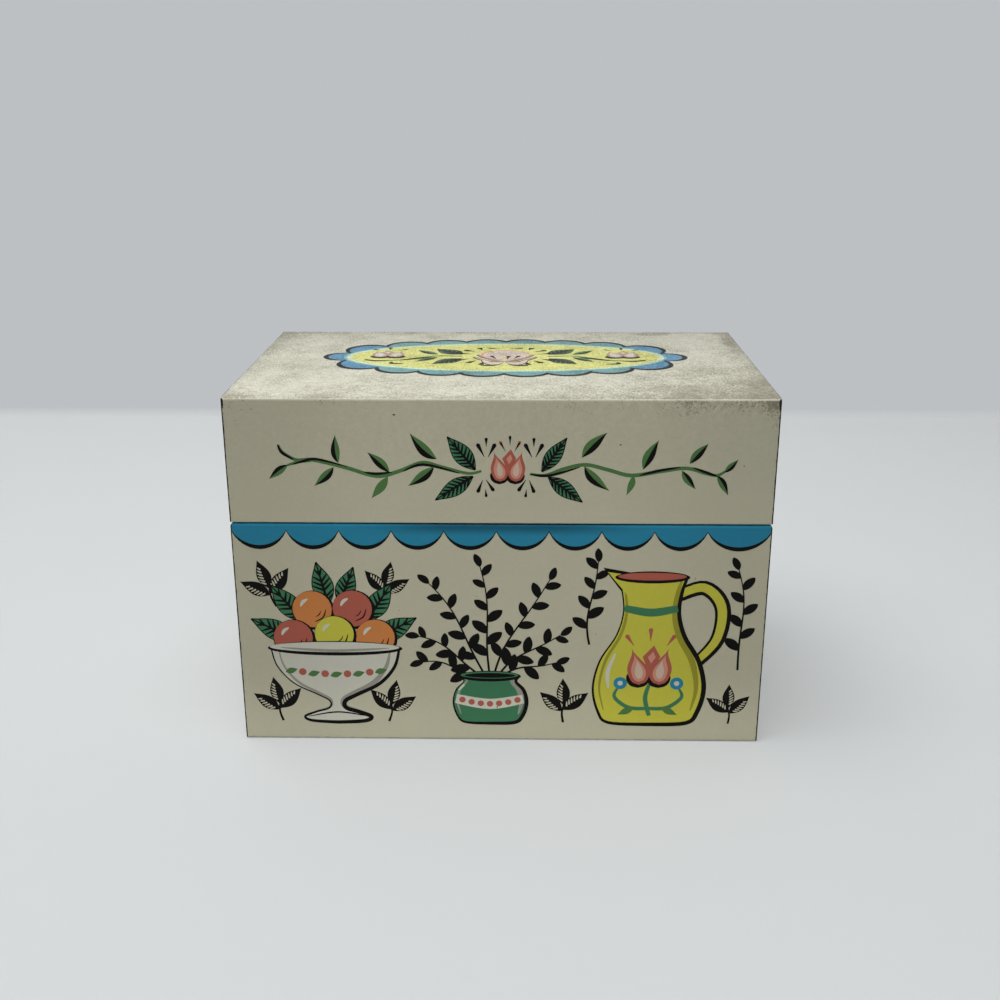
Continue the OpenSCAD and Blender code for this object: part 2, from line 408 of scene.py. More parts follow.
@dataclass
class Litho:
    """Inks and coated sheet, each made into a material once."""

    worn: WornTin
    made: dict[str, bpy.types.Material] = field(default_factory=dict)
    # Stoved enamel that kitchen air has dulled gives back less than a fresh coat does
    enamel: dict[str, float] = field(default_factory=lambda: {"IOR": 1.38, "Specular IOR Level": 0.15})

    def _shader(self, name: str, **inputs: float) -> tuple[bpy.types.Material, bpy.types.Node]:
        """Starts a material with a Principled shader.

        Args:
            name: The material's name.
            **inputs: The shader's constant inputs, by their names.

        Returns:
            The material and its shader node.
        """
        material = bpy.data.materials.new(name)
        material.use_nodes = True
        material.node_tree.nodes.clear()
        shader = add(material.node_tree, "ShaderNodeBsdfPrincipled", inputs)
        add(material.node_tree, "ShaderNodeOutputMaterial", {0: shader})
        self.made[name] = material
        return material, shader

    def ink(self, ink: Ink) -> bpy.types.Material:
        """Litho enamel ink, stoved on: even colour, satin gloss, worn and given painted shade and highlights with the
        coat below it.

        Args:
            ink: Which ink.

        Returns:
            Its material.
        """
        name = f"litho_ink_{ink.name.lower()}"
        if name in self.made:
            return self.made[name]
        material, shader = self._shader(name, **self.enamel)
        t = material.node_tree
        wear = add(t, "ShaderNodeGroup", node_tree=self.worn.tree)
        wear.inputs[0].default_value = linear(ink.value)
        for socket, output in (("Base Color", 0), ("Roughness", 1), ("Metallic", 2), ("Normal", 3)):
            t.links.new(wear.outputs[output], shader.inputs[socket])
        return material

    def sheet(self, side: Side) -> bpy.types.Material:
        """Tinplate with a stoved cream coat outside and bare, dull tin inside.

        The coat is on what faces outwards, on the curls of the hinge and on both faces of a hem.
        The body's is blue from the top of its wall upwards. A wrap shows grey cut edges at its ends.

        Args:
            side: Which pieces the material is for.

        Returns:
            The material.
        """
        name = f"coated_tinplate_{side.name.lower()}"
        if name in self.made:
            return self.made[name]
        material, shader = self._shader(name, **self.enamel)
        t = material.node_tree
        coords = add(t, "ShaderNodeTexCoord")
        mm = add(t, VECTOR, {0: coords.outputs["Object"], "Scale": 1 / MM}, operation="SCALE")
        xyz = add(t, "ShaderNodeSeparateXYZ", {0: mm})
        facing = add(t, "ShaderNodeSeparateXYZ", {0: coords.outputs["Normal"]})
        middle = (0.0, 0.0, SIZES.height / 2)
        outward: Any = 0.0
        reach = ((0, SIZES.half_w - 2.2), (1, SIZES.half_d - 2.2), (2, SIZES.height / 2 - 1.0))
        for axis, beyond in reach:
            off = add(t, MATH, {0: xyz.outputs[axis], 1: middle[axis]}, operation="SUBTRACT")
            away = add(t, MATH, {0: off, 1: facing.outputs[axis]}, operation="MULTIPLY")
            away = add(t, MATH, {0: away, 1: beyond * 0.35}, operation="GREATER_THAN")
            far = add(t, MATH, {0: off}, operation="ABSOLUTE")
            far = add(t, MATH, {0: far, 1: beyond}, operation="GREATER_THAN")
            both = add(t, MATH, {0: away, 1: far}, operation="MULTIPLY")
            outward = add(t, MATH, {0: outward, 1: both}, operation="MAXIMUM")
        hinge = (0.0, SIZES.hinge_y, SIZES.hinge_z)
        flat = add(t, VECTOR, {0: mm, 1: (0.0, 1.0, 1.0)}, operation="MULTIPLY")
        curl = add(t, VECTOR, {0: flat, 1: hinge}, operation="DISTANCE")
        curl = add(t, MATH, {0: curl.outputs["Value"], 1: 1.5}, operation="LESS_THAN")
        coated = add(t, MATH, {0: outward, 1: curl}, operation="MAXIMUM")
        on_lid = side in (Side.LID_WRAP, Side.LID_END)
        cream, blue = linear(Ink.CREAM.value), linear(Ink.BLUE.value)
        if on_lid:
            hem = add(t, MATH, {0: xyz.outputs[2], 1: SIZES.hem_top}, operation="LESS_THAN")
            coated = add(t, MATH, {0: coated, 1: hem}, operation="MAXIMUM")
            coat: Any = cream
        else:
            band = add(t, MATH, {0: xyz.outputs[2], 1: SIZES.wall_top - 0.05}, operation="GREATER_THAN")
            coat = add(t, "ShaderNodeMix", {0: band, 6: cream, 7: blue}, data_type="RGBA").outputs[2]
            # The shoulder that the lid rests over faces upwards and is coated too
            ledge = add(t, MATH, {0: band, 1: facing.outputs[2]}, operation="MULTIPLY")
            ledge = add(t, MATH, {0: ledge, 1: 0.3}, operation="GREATER_THAN")
            coated = add(t, MATH, {0: coated, 1: ledge}, operation="MAXIMUM")
        if side in (Side.BODY_WRAP, Side.LID_WRAP):
            cut = add(t, MATH, {0: facing.outputs[0]}, operation="ABSOLUTE")
            cut = add(t, MATH, {0: cut, 1: 0.7}, operation="LESS_THAN")
            coated = add(t, MATH, {0: coated, 1: cut}, operation="MULTIPLY")
        wear = add(t, "ShaderNodeGroup", {0: coat}, node_tree=self.worn.tree)
        bare = self.bare_tin(t, mm)
        colour = add(t, "ShaderNodeMix", {0: coated, 6: bare[0], 7: wear.outputs[0]}, data_type="RGBA")
        rough = add(t, "ShaderNodeMix", {0: coated, 2: bare[1], 3: wear.outputs[1]})
        metal = add(t, "ShaderNodeMix", {0: coated, 2: 0.85, 3: wear.outputs[2]})
        for socket, value in (("Base Color", colour.outputs[2]), ("Roughness", rough.outputs[0]),
                              ("Metallic", metal.outputs[0]), ("Normal", wear.outputs[3])):
            t.links.new(value, shader.inputs[socket])
        return material

    def bare_tin(self, t: bpy.types.NodeTree, mm: bpy.types.Node) -> tuple[Any, Any]:
        """Uncoated tinplate, rolled and dulled: cool grey with fine rolling lines and brown stains.

        Args:
            t: The material's tree.
            mm: Node with the point in millimetres.

        Returns:
            Sockets with the colour and the roughness.
        """
        lines = add(t, VECTOR, {0: mm, 1: (0.05, 2.5, 2.5)}, operation="MULTIPLY")
        rolled = add(t, "ShaderNodeTexNoise", {"Vector": lines, "Scale": 1.0, "Detail": 2.0})
        stain = add(t, "ShaderNodeTexNoise", {"Vector": mm, "Scale": 1 / 14, "Detail": 5.0})
        stained = add(t, "ShaderNodeMapRange", {0: stain, 1: 0.5, 2: 0.72})
        colour = add(t, "ShaderNodeMix", {0: stained, 6: linear("#a9a79f"), 7: linear("#8c8270")},
                     data_type="RGBA")
        rough = add(t, MATH, {0: rolled, 1: 0.16, 2: 0.30}, operation="MULTIPLY_ADD")
        return colour.outputs[2], rough.outputs[0]

    def wire(self) -> bpy.types.Material:
        """Drawn steel wire: bright grey, brushed along its length, browned in places.

        Returns:
            The material.
        """
        material, shader = self._shader("drawn_steel_wire", Metallic=1.0)
        t = material.node_tree
        coords = add(t, "ShaderNodeTexCoord")
        mm = add(t, VECTOR, {0: coords.outputs["Object"], "Scale": 1 / MM}, operation="SCALE")
        colour, rough = self.bare_tin(t, mm)
        t.links.new(colour, shader.inputs["Base Color"])
        t.links.new(rough, shader.inputs["Roughness"])
        return material


# Pen work: outlines in millimetres on a flat face, x to the right and y upwards

def smooth(points: Sequence[Point], closed: bool = False, steps: int = 6) -> list[Point]:
    """Runs a Catmull-Rom curve through a few points.

    Args:
        points: The points that the curve passes.
        closed: Whether the curve comes back to its start.
        steps: Points made for each stretch.

    Returns:
        Points along the curve.
    """
    n = len(points)
    at = (lambda i: points[i % n]) if closed else (lambda i: points[min(max(i, 0), n - 1)])
    made = []
    for i in range(n if closed else n - 1):
        a, b, c, d = (Vector(at(i + k)) for k in (-1, 0, 1, 2))
        for k in range(steps):
            t = k / steps
            p = 2 * b + (c - a) * t + (2 * a - 5 * b + 4 * c - d) * t ** 2 + (3 * b - a - 3 * c + d) * t ** 3
            made.append((p.x / 2, p.y / 2))
    if not closed:
        made.append(tuple(points[-1]))
    return made


def ribbon(path: Sequence[Point], width: Callable[[float], float]) -> list[Point]:
    """Outlines a brush stroke along a path.

    Args:
        path: Points along the middle of the stroke.
        width: Gives the stroke's width at a share of its length, from 0 to 1.

    Returns:
        The stroke's outline.
    """
    n = len(path) - 1
    left, right = [], []
    for i, point in enumerate(path):
        along = Vector(path[min(i + 1, n)]) - Vector(path[max(i - 1, 0)])
        off = Vector((-along.y, along.x)).normalized() * width(i / n) / 2
        left.append(tuple(Vector(point) + off))
        right.append(tuple(Vector(point) - off))
    return left + right[::-1]


def tapered(start: float, middle: float, end: float) -> Callable[[float], float]:
    """Gives a width that swells from start to middle and falls to end."""
    return lambda t: (start * (1 - t) ** 2 + 2 * (2 * middle - (start + end) / 2) * t * (1 - t)
                      + end * t ** 2)


def oval(x: float, y: float, rx: float, ry: float, turn: float = 0.0, n: int = 24) -> list[Point]:
    """Gives an ellipse about (x, y), turned by an angle in degrees."""
    c, s = math.cos(math.radians(turn)), math.sin(math.radians(turn))
    angles = [2 * math.pi * i / n for i in range(n)]
    flat = [(rx * math.cos(a), ry * math.sin(a)) for a in angles]
    return [(x + c * u - s * v, y + s * u + c * v) for u, v in flat]


def drop(length: float, width: float) -> list[Point]:
    """Gives a brush dab from the origin along +x: pointed where it starts, round where it ends."""
    return ribbon([(length * i / 10, 0.0) for i in range(11)],
                  lambda t: width * (0.12 + 0.88 * t ** 1.3) * math.sqrt(max(0.0, 1 - ((t - 0.8) / 0.2) ** 2))
                  if t > 0.8 else width * (0.12 + 0.88 * t ** 1.3))


def leaf_edges(length: float, width: float, bend: float = 0.0, n: int = 10) -> tuple[list[Point], ...]:
    """Gives the upper edge, the midrib and the lower edge of a leaf along +x, base to tip.

    Args:
        length: From base to tip.
        width: Across the widest place.
        bend: How far the tip swings to the left, as a share of the length.
        n: Stretches along the leaf.

    Returns:
        Three lists of points.
    """
    upper, rib, lower = [], [], []
    for i in range(n + 1):
        t = i / n
        half = width / 2 * math.sin(math.pi * t ** 0.85) ** 1.15 if 0 < i < n else 0.0
        y = bend * length * t * t
        upper.append((length * t, y + half))
        rib.append((length * t, y))
        lower.append((length * t, y - half))
    return upper, rib, lower


@dataclass
class Artwork:
    """Filled outlines in painter's order, the last one on top."""

    shapes: list[tuple[Ink, list[Point]]] = field(default_factory=list)

    def fill(self, ink: Ink, outline: Iterable[Point]) -> "Artwork":
        """Adds an outline filled with an ink."""
        self.shapes.append((ink, list(outline)))
        return self

    def stroke(self, ink: Ink, path: Sequence[Point], start: float, middle: float | None = None,
               end: float | None = None, closed: bool = False) -> "Artwork":
        """Adds a brush stroke along a smooth curve.

        Args:
            ink: The stroke's ink.
            path: Points that the curve passes.
            start: Width at the start.
            middle: Width halfway, the start's if left out.
            end: Width at the end, the start's if left out.
            closed: Whether the curve comes back to its start.

        Returns:
            The artwork.
        """
        middle = start if middle is None else middle
        end = start if end is None else end
        curve = smooth(path, closed)
        if closed:
            curve.append(curve[0])
        width = tapered(start, middle, end)
        # Quads rather than one outline, so that a stroke may cross itself
        n = len(curve) - 1
        edge = ribbon(curve, width)
        left, right = edge[:n + 1], edge[n + 1:][::-1]
        for i in range(n):
            self.fill(ink, (right[i], right[i + 1], left[i + 1], left[i]))
        return self

    def stamp(self, other: "Artwork", x: float = 0.0, y: float = 0.0, turn: float = 0.0,
              scale: float = 1.0, flip: bool = False) -> "Artwork":
        """Adds another artwork, scaled, flipped left to right, turned in degrees, then moved."""
        c, s = math.cos(math.radians(turn)) * scale, math.sin(math.radians(turn)) * scale
        side = -1 if flip else 1
        for ink, outline in other.shapes:
            self.fill(ink, [(x + c * side * u - s * v, y + s * side * u + c * v) for u, v in outline])
        return self


@dataclass(frozen=True)
class Face:
    """A flat face of the tin that carries print, seen from outside."""

    body: str
    origin: tuple[float, float, float]
    across: tuple[float, float, float]
    up: tuple[float, float, float]

    def place(self, point: Point, height: float) -> Vector:
        """Gives the place in metres of a point of the print, at a height above the face in mm."""
        across, up = Vector(self.across), Vector(self.up)
        spot = Vector(self.origin) + across * point[0] + up * point[1] + across.cross(up) * height
        return spot * MM

    def on(self, body: str) -> "Face":
        """Gives the same face for another body."""
        return replace(self, body=body)


# The box's four walls, each seen from outside, with x from the middle and y up from the table
WALLS = {
    "front": Face("box", (0.0, -SIZES.half_d, 0.0), (1, 0, 0), (0, 0, 1)),
    "back": Face("box", (0.0, SIZES.half_d, 0.0), (-1, 0, 0), (0, 0, 1)),
    "left": Face("box", (-SIZES.half_w, 0.0, 0.0), (0, -1, 0), (0, 0, 1)),
    "right": Face("box", (SIZES.half_w, 0.0, 0.0), (0, 1, 0), (0, 0, 1)),
}


@dataclass
class Press:
    """Prints artwork on the faces: every ink lies in one plane, cut to what shows of it."""

    litho: Litho
    proud_mm: float = 0.02
    sunk_mm: float = 0.05

    def print(self, name: str, face: Face, art: Artwork) -> bpy.types.Object:
        """Turns artwork into one thin closed piece on a face.

        Args:
            name: Name of the piece.
            face: Where it goes.
            art: What is printed.

        Returns:
            The piece, riding on the face's body.
        """
        points: list[Point] = []
        edges: list[tuple[int, int]] = []
        for _, outline in art.shapes:
            first, n = len(points), len(outline)
            points.extend(outline)
            edges.extend((first + i, first + (i + 1) % n) for i in range(n))
        verts, _, cells, *_ = delaunay_2d_cdt([Vector(p) for p in points], edges, [], 0, 1e-4, False)
        on_top = self._topmost(np.array(verts), np.array(cells), art)
        inks = sorted({ink for ink, _ in art.shapes}, key=lambda ink: ink.name)
        seen = [(cell, inks.index(art.shapes[k][0])) for cell, k in zip(cells, on_top) if k >= 0]
        used = sorted({v for cell, _ in seen for v in cell})
        number = {v: i for i, v in enumerate(used)}
        cells = [[number[v] for v in cell] for cell, _ in seen]
        n = len(used)
        top = [face.place(verts[v], self.proud_mm) for v in used]
        bottom = [face.place(verts[v], -self.sunk_mm) for v in used]
        sides = {(a, b): k for k, cell in enumerate(cells) for a, b in zip(cell, cell[1:] + cell[:1])}
        rims = [((a, a + n, b + n, b), seen[k][1]) for (a, b), k in sides.items() if (b, a) not in sides]
        mesh = bpy.data.meshes.new(name)
        faces = cells + [[v + n for v in cell[::-1]] for cell in cells] + [rim for rim, _ in rims]
        mesh.from_pydata(top + bottom, [], faces)
        colours = [ink for _, ink in seen] * 2 + [ink for _, ink in rims]
        mesh.polygons.foreach_set("material_index", colours)
        for ink in inks:
            mesh.materials.append(self.litho.ink(ink))
        ob = bpy.data.objects.new(name, mesh)
        bpy.context.scene.collection.objects.link(ob)
        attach(ob, face.body)
        LOG.info("printed %s: %d outlines, %d faces", name, len(art.shapes), len(faces))
        return ob

    def _topmost(self, verts: np.ndarray, cells: np.ndarray, art: Artwork) -> np.ndarray:
        """Finds the last outline that covers each triangle.

        Args:
            verts: Corners, one row each.
            cells: Triangles, one row of three corners each.
            art: The artwork.

        Returns:
            The outline's number for each triangle, -1 where there is none.
        """
        x, y = verts[cells].mean(axis=1).T
        found = np.full(len(cells), -1)
        for number, (_, outline) in enumerate(art.shapes):
            corners = np.array(outline)
            low, high = corners.min(axis=0), corners.max(axis=0)
            near = np.flatnonzero((x > low[0]) & (x < high[0]) & (y > low[1]) & (y < high[1]))
            inside = np.zeros(len(near), dtype=bool)
            for (ax, ay), (bx, by) in zip(corners, np.roll(corners, -1, axis=0)):
                if ay == by:
                    continue
                crossed = (ay > y[near]) != (by > y[near])
                inside ^= crossed & (x[near] < (bx - ax) * (y[near] - ay) / (by - ay) + ax)
            found[near[inside]] = number
        return found


@dataclass(frozen=True)
class Scallops:
    """A band with a straight top and round scallops below it, with a line under each.

    Cusps stand a pitch apart from the first one, and the end scallops reach the band's ends.
    """

    half_width: float
    top: float
    cusp: float
    depth: float
    line: float
    count: int
    first: float
    pitch: float
    fill_ink: Ink = Ink.BLUE
    line_ink: Ink = Ink.BLACK


@dataclass(frozen=True)
class LobeRing:
    """An oval with a row of round lobes along both its long sides, and one at each end."""

    half_width: float
    half_height: float
    lobes: int
    pitch: float
    depth: float
    line: float
    end_lobe: float
    fill_ink: Ink = Ink.BLUE
    side_ink: Ink = Ink.BLUE
    line_ink: Ink = Ink.BLACK


@dataclass(frozen=True)
class Sprig:
    """A leafy stem: an arc with a wave on it, and leaves of two halves along it.

    Curl is the arc's turn and leaf angle the leaves' lean, both in radians. First and last say
    between which shares of the stem the leaves stand, paired is 1 for leaves on both sides.
    """

    length: float = 20.0
    curl: float = 0.5
    wave: float = 0.0
    waves: float = 1.0
    stem: float = 0.5
    shadow: float = 0.0
    leaves: int = 7
    first: float = 0.25
    last: float = 0.92
    paired: float = 0.0
    tip_leaf: float = 1.0
    leaf: float = 4.5
    leaf_width: float = 2.0
    leaf_angle: float = 0.75
    leaf_bend: float = 0.12
    taper: float = 0.7
    midrib: float = 0.09
    seed: int = 1
    stem_ink: Ink = Ink.BLACK
    shadow_ink: Ink = Ink.BLACK
    upper_ink: Ink = Ink.BLACK
    lower_ink: Ink = Ink.BLACK


@dataclass
class Grower:
    """Geometry Nodes that make what repeats in the print, in millimetres on a flat face.

    The faces that a tree makes are read back as outlines, so that the press can lay them under
    and over the rest of the artwork.
    """

    litho: Litho
    trees: dict[type, bpy.types.NodeTree] = field(default_factory=dict)

    def __post_init__(self) -> None:
        """Builds the trees."""
        self._build_scallops()
        self._build_lobe_ring()
        self._build_sprig()

    def _start(self, spec: type) -> tuple[bpy.types.NodeTree, bpy.types.bpy_prop_collection]:
        """Starts a tree with an input for each field of what it makes.

        Args:
            spec: The dataclass of what the tree makes.

        Returns:
            The tree and the outputs of its group input.
        """
        tree = bpy.data.node_groups.new(spec.__name__, "GeometryNodeTree")
        tree.is_modifier = True
        tree.interface.new_socket("Geometry", in_out="OUTPUT", socket_type="NodeSocketGeometry")
        kinds = {"float": "NodeSocketFloat", "int": "NodeSocketInt", "Ink": "NodeSocketMaterial"}
        for item in fields(spec):
            kind = getattr(item.type, "__name__", item.type)
            tree.interface.new_socket(item.name, in_out="INPUT", socket_type=kinds[kind])
        self.trees[spec] = tree
        return tree, tree.nodes.new("NodeGroupInput").outputs

    def grow(self, spec: Any) -> Artwork:
        """Runs a tree and reads its faces back.

        Args:
            spec: What to make.

        Returns:
            The faces as artwork, in the tree's order.
        """
        tree = self.trees[type(spec)]
        ob = bpy.data.objects.new(tree.name, bpy.data.meshes.new(tree.name))
        bpy.context.scene.collection.objects.link(ob)
        modifier = ob.modifiers.new(tree.name, "NODES")
        modifier.node_group = tree
        for item in tree.interface.items_tree:
            if item.in_out == "INPUT":
                value = getattr(spec, item.name)
                modifier[item.identifier] = self.litho.ink(value) if isinstance(value, Ink) else value
        mesh = bpy.data.meshes.new_from_object(ob.evaluated_get(bpy.context.evaluated_depsgraph_get()))
        bpy.data.objects.remove(ob)
        inks = {self.litho.ink(ink): ink for ink in Ink}
        art = Artwork()
        for polygon in mesh.polygons:
            outline = [mesh.vertices[v].co.xy.to_tuple() for v in polygon.vertices]
            art.fill(inks[mesh.materials[polygon.material_index]], outline)
        bpy.data.meshes.remove(mesh)
        return art

    def _finish(self, t: bpy.types.NodeTree, layers: Sequence[tuple[Any, Any]]) -> None:
        """Joins a tree's layers, the lowest first, realises them and sets their inks.

        Args:
            t: The tree.
            layers: A node with the shapes and a socket with the ink of each layer.
        """
        joined = add(t, "GeometryNodeJoinGeometry")
        numbered = [add(t, "GeometryNodeStoreNamedAttribute",
                        {"Geometry": shapes, "Name": "layer", "Value": k}, data_type="INT", domain="FACE")
                    for k, (shapes, _) in enumerate(layers)]
        # A join lists what was linked last first
        for node in numbered[::-1]:
            t.links.new(node.outputs[0], joined.inputs[0])
        result = add(t, "GeometryNodeRealizeInstances", {0: joined})
        layer = add(t, "GeometryNodeInputNamedAttribute", {"Name": "layer"}, data_type="INT")
        for k, (_, ink) in enumerate(layers):
            mine = add(t, "FunctionNodeCompare", {2: layer, 3: k}, data_type="INT", operation="EQUAL")
            result = add(t, "GeometryNodeSetMaterial", {0: result, 1: mine, 2: ink})
        t.links.new(result.outputs[0], t.nodes.new("NodeGroupOutput").inputs[0])

    def _build_scallops(self) -> None:
        """Builds the scalloped band from two grids: one bent to the fill, one to the line."""
        t, g = self._start(Scallops)
        steps = 16
        columns = add(t, MATH, {0: g["count"], 1: float(steps), 2: 1.0}, operation="MULTIPLY_ADD")
        grid = add(t, "GeometryNodeMeshGrid",
                   {"Size X": 1.0, "Size Y": 1.0, "Vertices X": columns, "Vertices Y": 2})
        xyz = add(t, "ShaderNodeSeparateXYZ", {0: add(t, "GeometryNodeInputPosition")})
        share = add(t, MATH, {0: xyz.outputs[0], 1: 0.5}, operation="ADD")
        across = add(t, MATH, {0: share, 1: g["count"]}, operation="MULTIPLY")
        number = add(t, MATH, {0: add(t, MATH, {0: across, 1: 0.001}, operation="ADD")}, operation="FLOOR")
        part = add(t, MATH, {0: across, 1: number}, operation="SUBTRACT")
        part = add(t, MATH, {0: part, 1: 0.0}, operation="MAXIMUM")
        cusps = []
        for ahead in (0.0, 1.0):
            k = add(t, MATH, {0: number, 1: ahead - 1.0}, operation="ADD")
            x = add(t, MATH, {0: k, 1: g["pitch"], 2: g["first"]}, operation="MULTIPLY_ADD")
            before = add(t, MATH, {0: k, 1: -0.5}, operation="LESS_THAN")
            spare = add(t, MATH, {0: g["count"], 1: 1.5}, operation="SUBTRACT")
            after = add(t, MATH, {0: k, 1: spare}, operation="GREATER_THAN")
            left_end = add(t, MATH, {0: g["half_width"], 1: -1.0}, operation="MULTIPLY")
            x = add(t, "ShaderNodeMix", {0: before, 2: x, 3: left_end})
            cusps.append(add(t, "ShaderNodeMix", {0: after, 2: x, 3: g["half_width"]}))
        x = add(t, "ShaderNodeMix", {0: part, 2: cusps[0], 3: cusps[1]})
        # Each scallop is a circle's arc over one pitch
        half = add(t, MATH, {0: g["pitch"], 1: 0.5}, operation="MULTIPLY")
        half_squared = add(t, MATH, {0: half, 1: half}, operation="MULTIPLY")
        radius = add(t, MATH, {0: g["depth"], 1: g["depth"], 2: half_squared}, operation="MULTIPLY_ADD")
        radius = add(t, MATH, {0: radius, 1: g["depth"]}, operation="DIVIDE")
        radius = add(t, MATH, {0: radius, 1: 0.5}, operation="MULTIPLY")
        off = add(t, MATH, {0: part, 1: 2.0, 2: -1.0}, operation="MULTIPLY_ADD")
        off = add(t, MATH, {0: off, 1: half}, operation="MULTIPLY")
        off = add(t, MATH, {0: off, 1: off}, operation="MULTIPLY")
        square = add(t, MATH, {0: radius, 1: radius}, operation="MULTIPLY")
        rise = add(t, MATH, {0: add(t, MATH, {0: square, 1: off}, operation="SUBTRACT")}, operation="SQRT")
        hang = add(t, MATH, {0: g["depth"], 1: radius}, operation="SUBTRACT")
        hang = add(t, MATH, {0: hang, 1: rise}, operation="ADD")
        low = add(t, MATH, {0: g["cusp"], 1: hang}, operation="SUBTRACT")
        thick = add(t, MATH, {0: hang, 1: g["depth"]}, operation="DIVIDE")
        thick = add(t, MATH, {0: thick, 1: 0.7, 2: 0.3}, operation="MULTIPLY_ADD")
        thick = add(t, MATH, {0: thick, 1: g["line"]}, operation="MULTIPLY")
        under = add(t, MATH, {0: low, 1: thick}, operation="SUBTRACT")
        upper = add(t, MATH, {0: xyz.outputs[1], 1: 0.0}, operation="GREATER_THAN")
        layers = []
        for bottom, ink in ((under, g["line_ink"]), (low, g["fill_ink"])):
            y = add(t, "ShaderNodeMix", {0: upper, 2: bottom, 3: g["top"]})
            place = add(t, "ShaderNodeCombineXYZ", {0: x, 1: y})
            layers.append((add(t, "GeometryNodeSetPosition", {0: grid, "Position": place}), ink))
        self._finish(t, layers)

    def _build_lobe_ring(self) -> None:
        """Builds the lobed oval: discs set round an ellipse, over the same discs a line larger."""
        t, g = self._start(LobeRing)
        index = add(t, "GeometryNodeInputIndex")
        number = add(t, MATH, {0: index, 1: g["lobes"]}, operation="MODULO")
        middle = add(t, MATH, {0: g["lobes"], 1: 0.5, 2: -0.5}, operation="MULTIPLY_ADD")
        x = add(t, MATH, {0: add(t, MATH, {0: number, 1: middle}, operation="SUBTRACT"), 1: g["pitch"]},
                operation="MULTIPLY")
        share = add(t, MATH, {0: x, 1: g["half_width"]}, operation="DIVIDE")
        share = add(t, MATH, {0: add(t, MATH, {0: share}, operation="ARCCOSINE")}, operation="SINE")
        far = add(t, MATH, {0: index, 1: add(t, MATH, {0: g["lobes"], 1: 0.5}, operation="SUBTRACT")},
                  operation="GREATER_THAN")
        side = add(t, MATH, {0: far, 1: 2.0, 2: -1.0}, operation="MULTIPLY_ADD")
        y = add(t, MATH, {0: share, 1: g["half_height"]}, operation="MULTIPLY")
        y = add(t, MATH, {0: y, 1: side}, operation="MULTIPLY")
        spot = add(t, "ShaderNodeCombineXYZ", {0: x, 1: y})
        # The ellipse's outward direction is (x / a², y / b²)
        outward = []
        for value, size in ((x, g["half_width"]), (y, g["half_height"])):
            square = add(t, MATH, {0: size, 1: size}, operation="MULTIPLY")
            outward.append(add(t, MATH, {0: value, 1: square}, operation="DIVIDE"))
        outward = add(t, VECTOR, {0: add(t, "ShaderNodeCombineXYZ", {0: outward[0], 1: outward[1]})},
                      operation="NORMALIZE")
        half = add(t, MATH, {0: g["pitch"], 1: 0.5}, operation="MULTIPLY")
        half = add(t, MATH, {0: half, 1: half}, operation="MULTIPLY")
        radius = add(t, MATH, {0: g["depth"], 1: g["depth"], 2: half}, operation="MULTIPLY_ADD")
        radius = add(t, MATH, {0: radius, 1: g["depth"]}, operation="DIVIDE")
        radius = add(t, MATH, {0: radius, 1: 0.5}, operation="MULTIPLY")
        inset = add(t, MATH, {0: g["depth"], 1: radius}, operation="SUBTRACT")
        row = add(t, "GeometryNodeMeshLine", {"Count": add(t, MATH, {0: g["lobes"], 1: 2.0},
                                                           operation="MULTIPLY")})
        ends = add(t, "GeometryNodeMeshLine", {"Count": 2})
        sign = add(t, MATH, {0: index, 1: 2.0, 2: -1.0}, operation="MULTIPLY_ADD")
        last = add(t, MATH, {0: g["lobes"], 1: 0.5}, operation="MULTIPLY")
        last = add(t, MATH, {0: last, 1: g["pitch"], 2: -0.4}, operation="MULTIPLY_ADD")
        disc = add(t, "GeometryNodeMeshCircle", {"Vertices": 40, "Radius": 1.0}, fill_type="NGON")
        layers = []
        for share, ink in ((1.0, g["line_ink"]), (0.0, g["fill_ink"])):
            # The line is thick at a lobe's front and half as thick beside its cusps
            grown = add(t, MATH, {0: g["line"], 1: share * 0.5, 2: radius}, operation="MULTIPLY_ADD")
            off = add(t, MATH, {0: g["line"], 1: share * 0.5, 2: inset}, operation="MULTIPLY_ADD")
            place = add(t, VECTOR, {0: outward, "Scale": off}, operation="SCALE")
            place = add(t, VECTOR, {0: spot, 1: place}, operation="ADD")
            row_spots = add(t, "GeometryNodeSetPosition", {0: row, "Position": place})
            discs = add(t, "GeometryNodeInstanceOnPoints",
                        {"Points": row_spots, "Instance": disc, "Scale": grown})
            out = add(t, MATH, {0: g["line"], 1: share * 0.5, 2: last}, operation="MULTIPLY_ADD")
            place = add(t, "ShaderNodeCombineXYZ", {0: add(t, MATH, {0: out, 1: sign}, operation="MULTIPLY")})
            end_spots = add(t, "GeometryNodeSetPosition", {0: ends, "Position": place})
            grown = add(t, MATH, {0: g["line"], 1: share * 0.4, 2: g["end_lobe"]}, operation="MULTIPLY_ADD")
            end_discs = add(t, "GeometryNodeInstanceOnPoints",
                            {"Points": end_spots, "Instance": disc, "Scale": grown})
            layers += [(discs, ink), (end_discs, ink)]
        # The lobes along the sides may have an ink of their own
        far = add(t, MATH, {0: g["pitch"], 1: 2.9}, operation="MULTIPLY")
        near = add(t, MATH, {0: add(t, MATH, {0: x}, operation="ABSOLUTE"), 1: far}, operation="LESS_THAN")
        side_discs = add(t, "GeometryNodeInstanceOnPoints",
                         {"Points": row_spots, "Selection": near, "Instance": disc, "Scale": radius})
        layers.append((side_discs, g["side_ink"]))
        wide = add(t, "ShaderNodeCombineXYZ", {0: g["half_width"], 1: g["half_height"], 2: 1.0})
        middle = add(t, "GeometryNodeTransform", {0: disc, "Scale": wide})
        layers.append((middle, g["fill_ink"]))
        self._finish(t, layers)

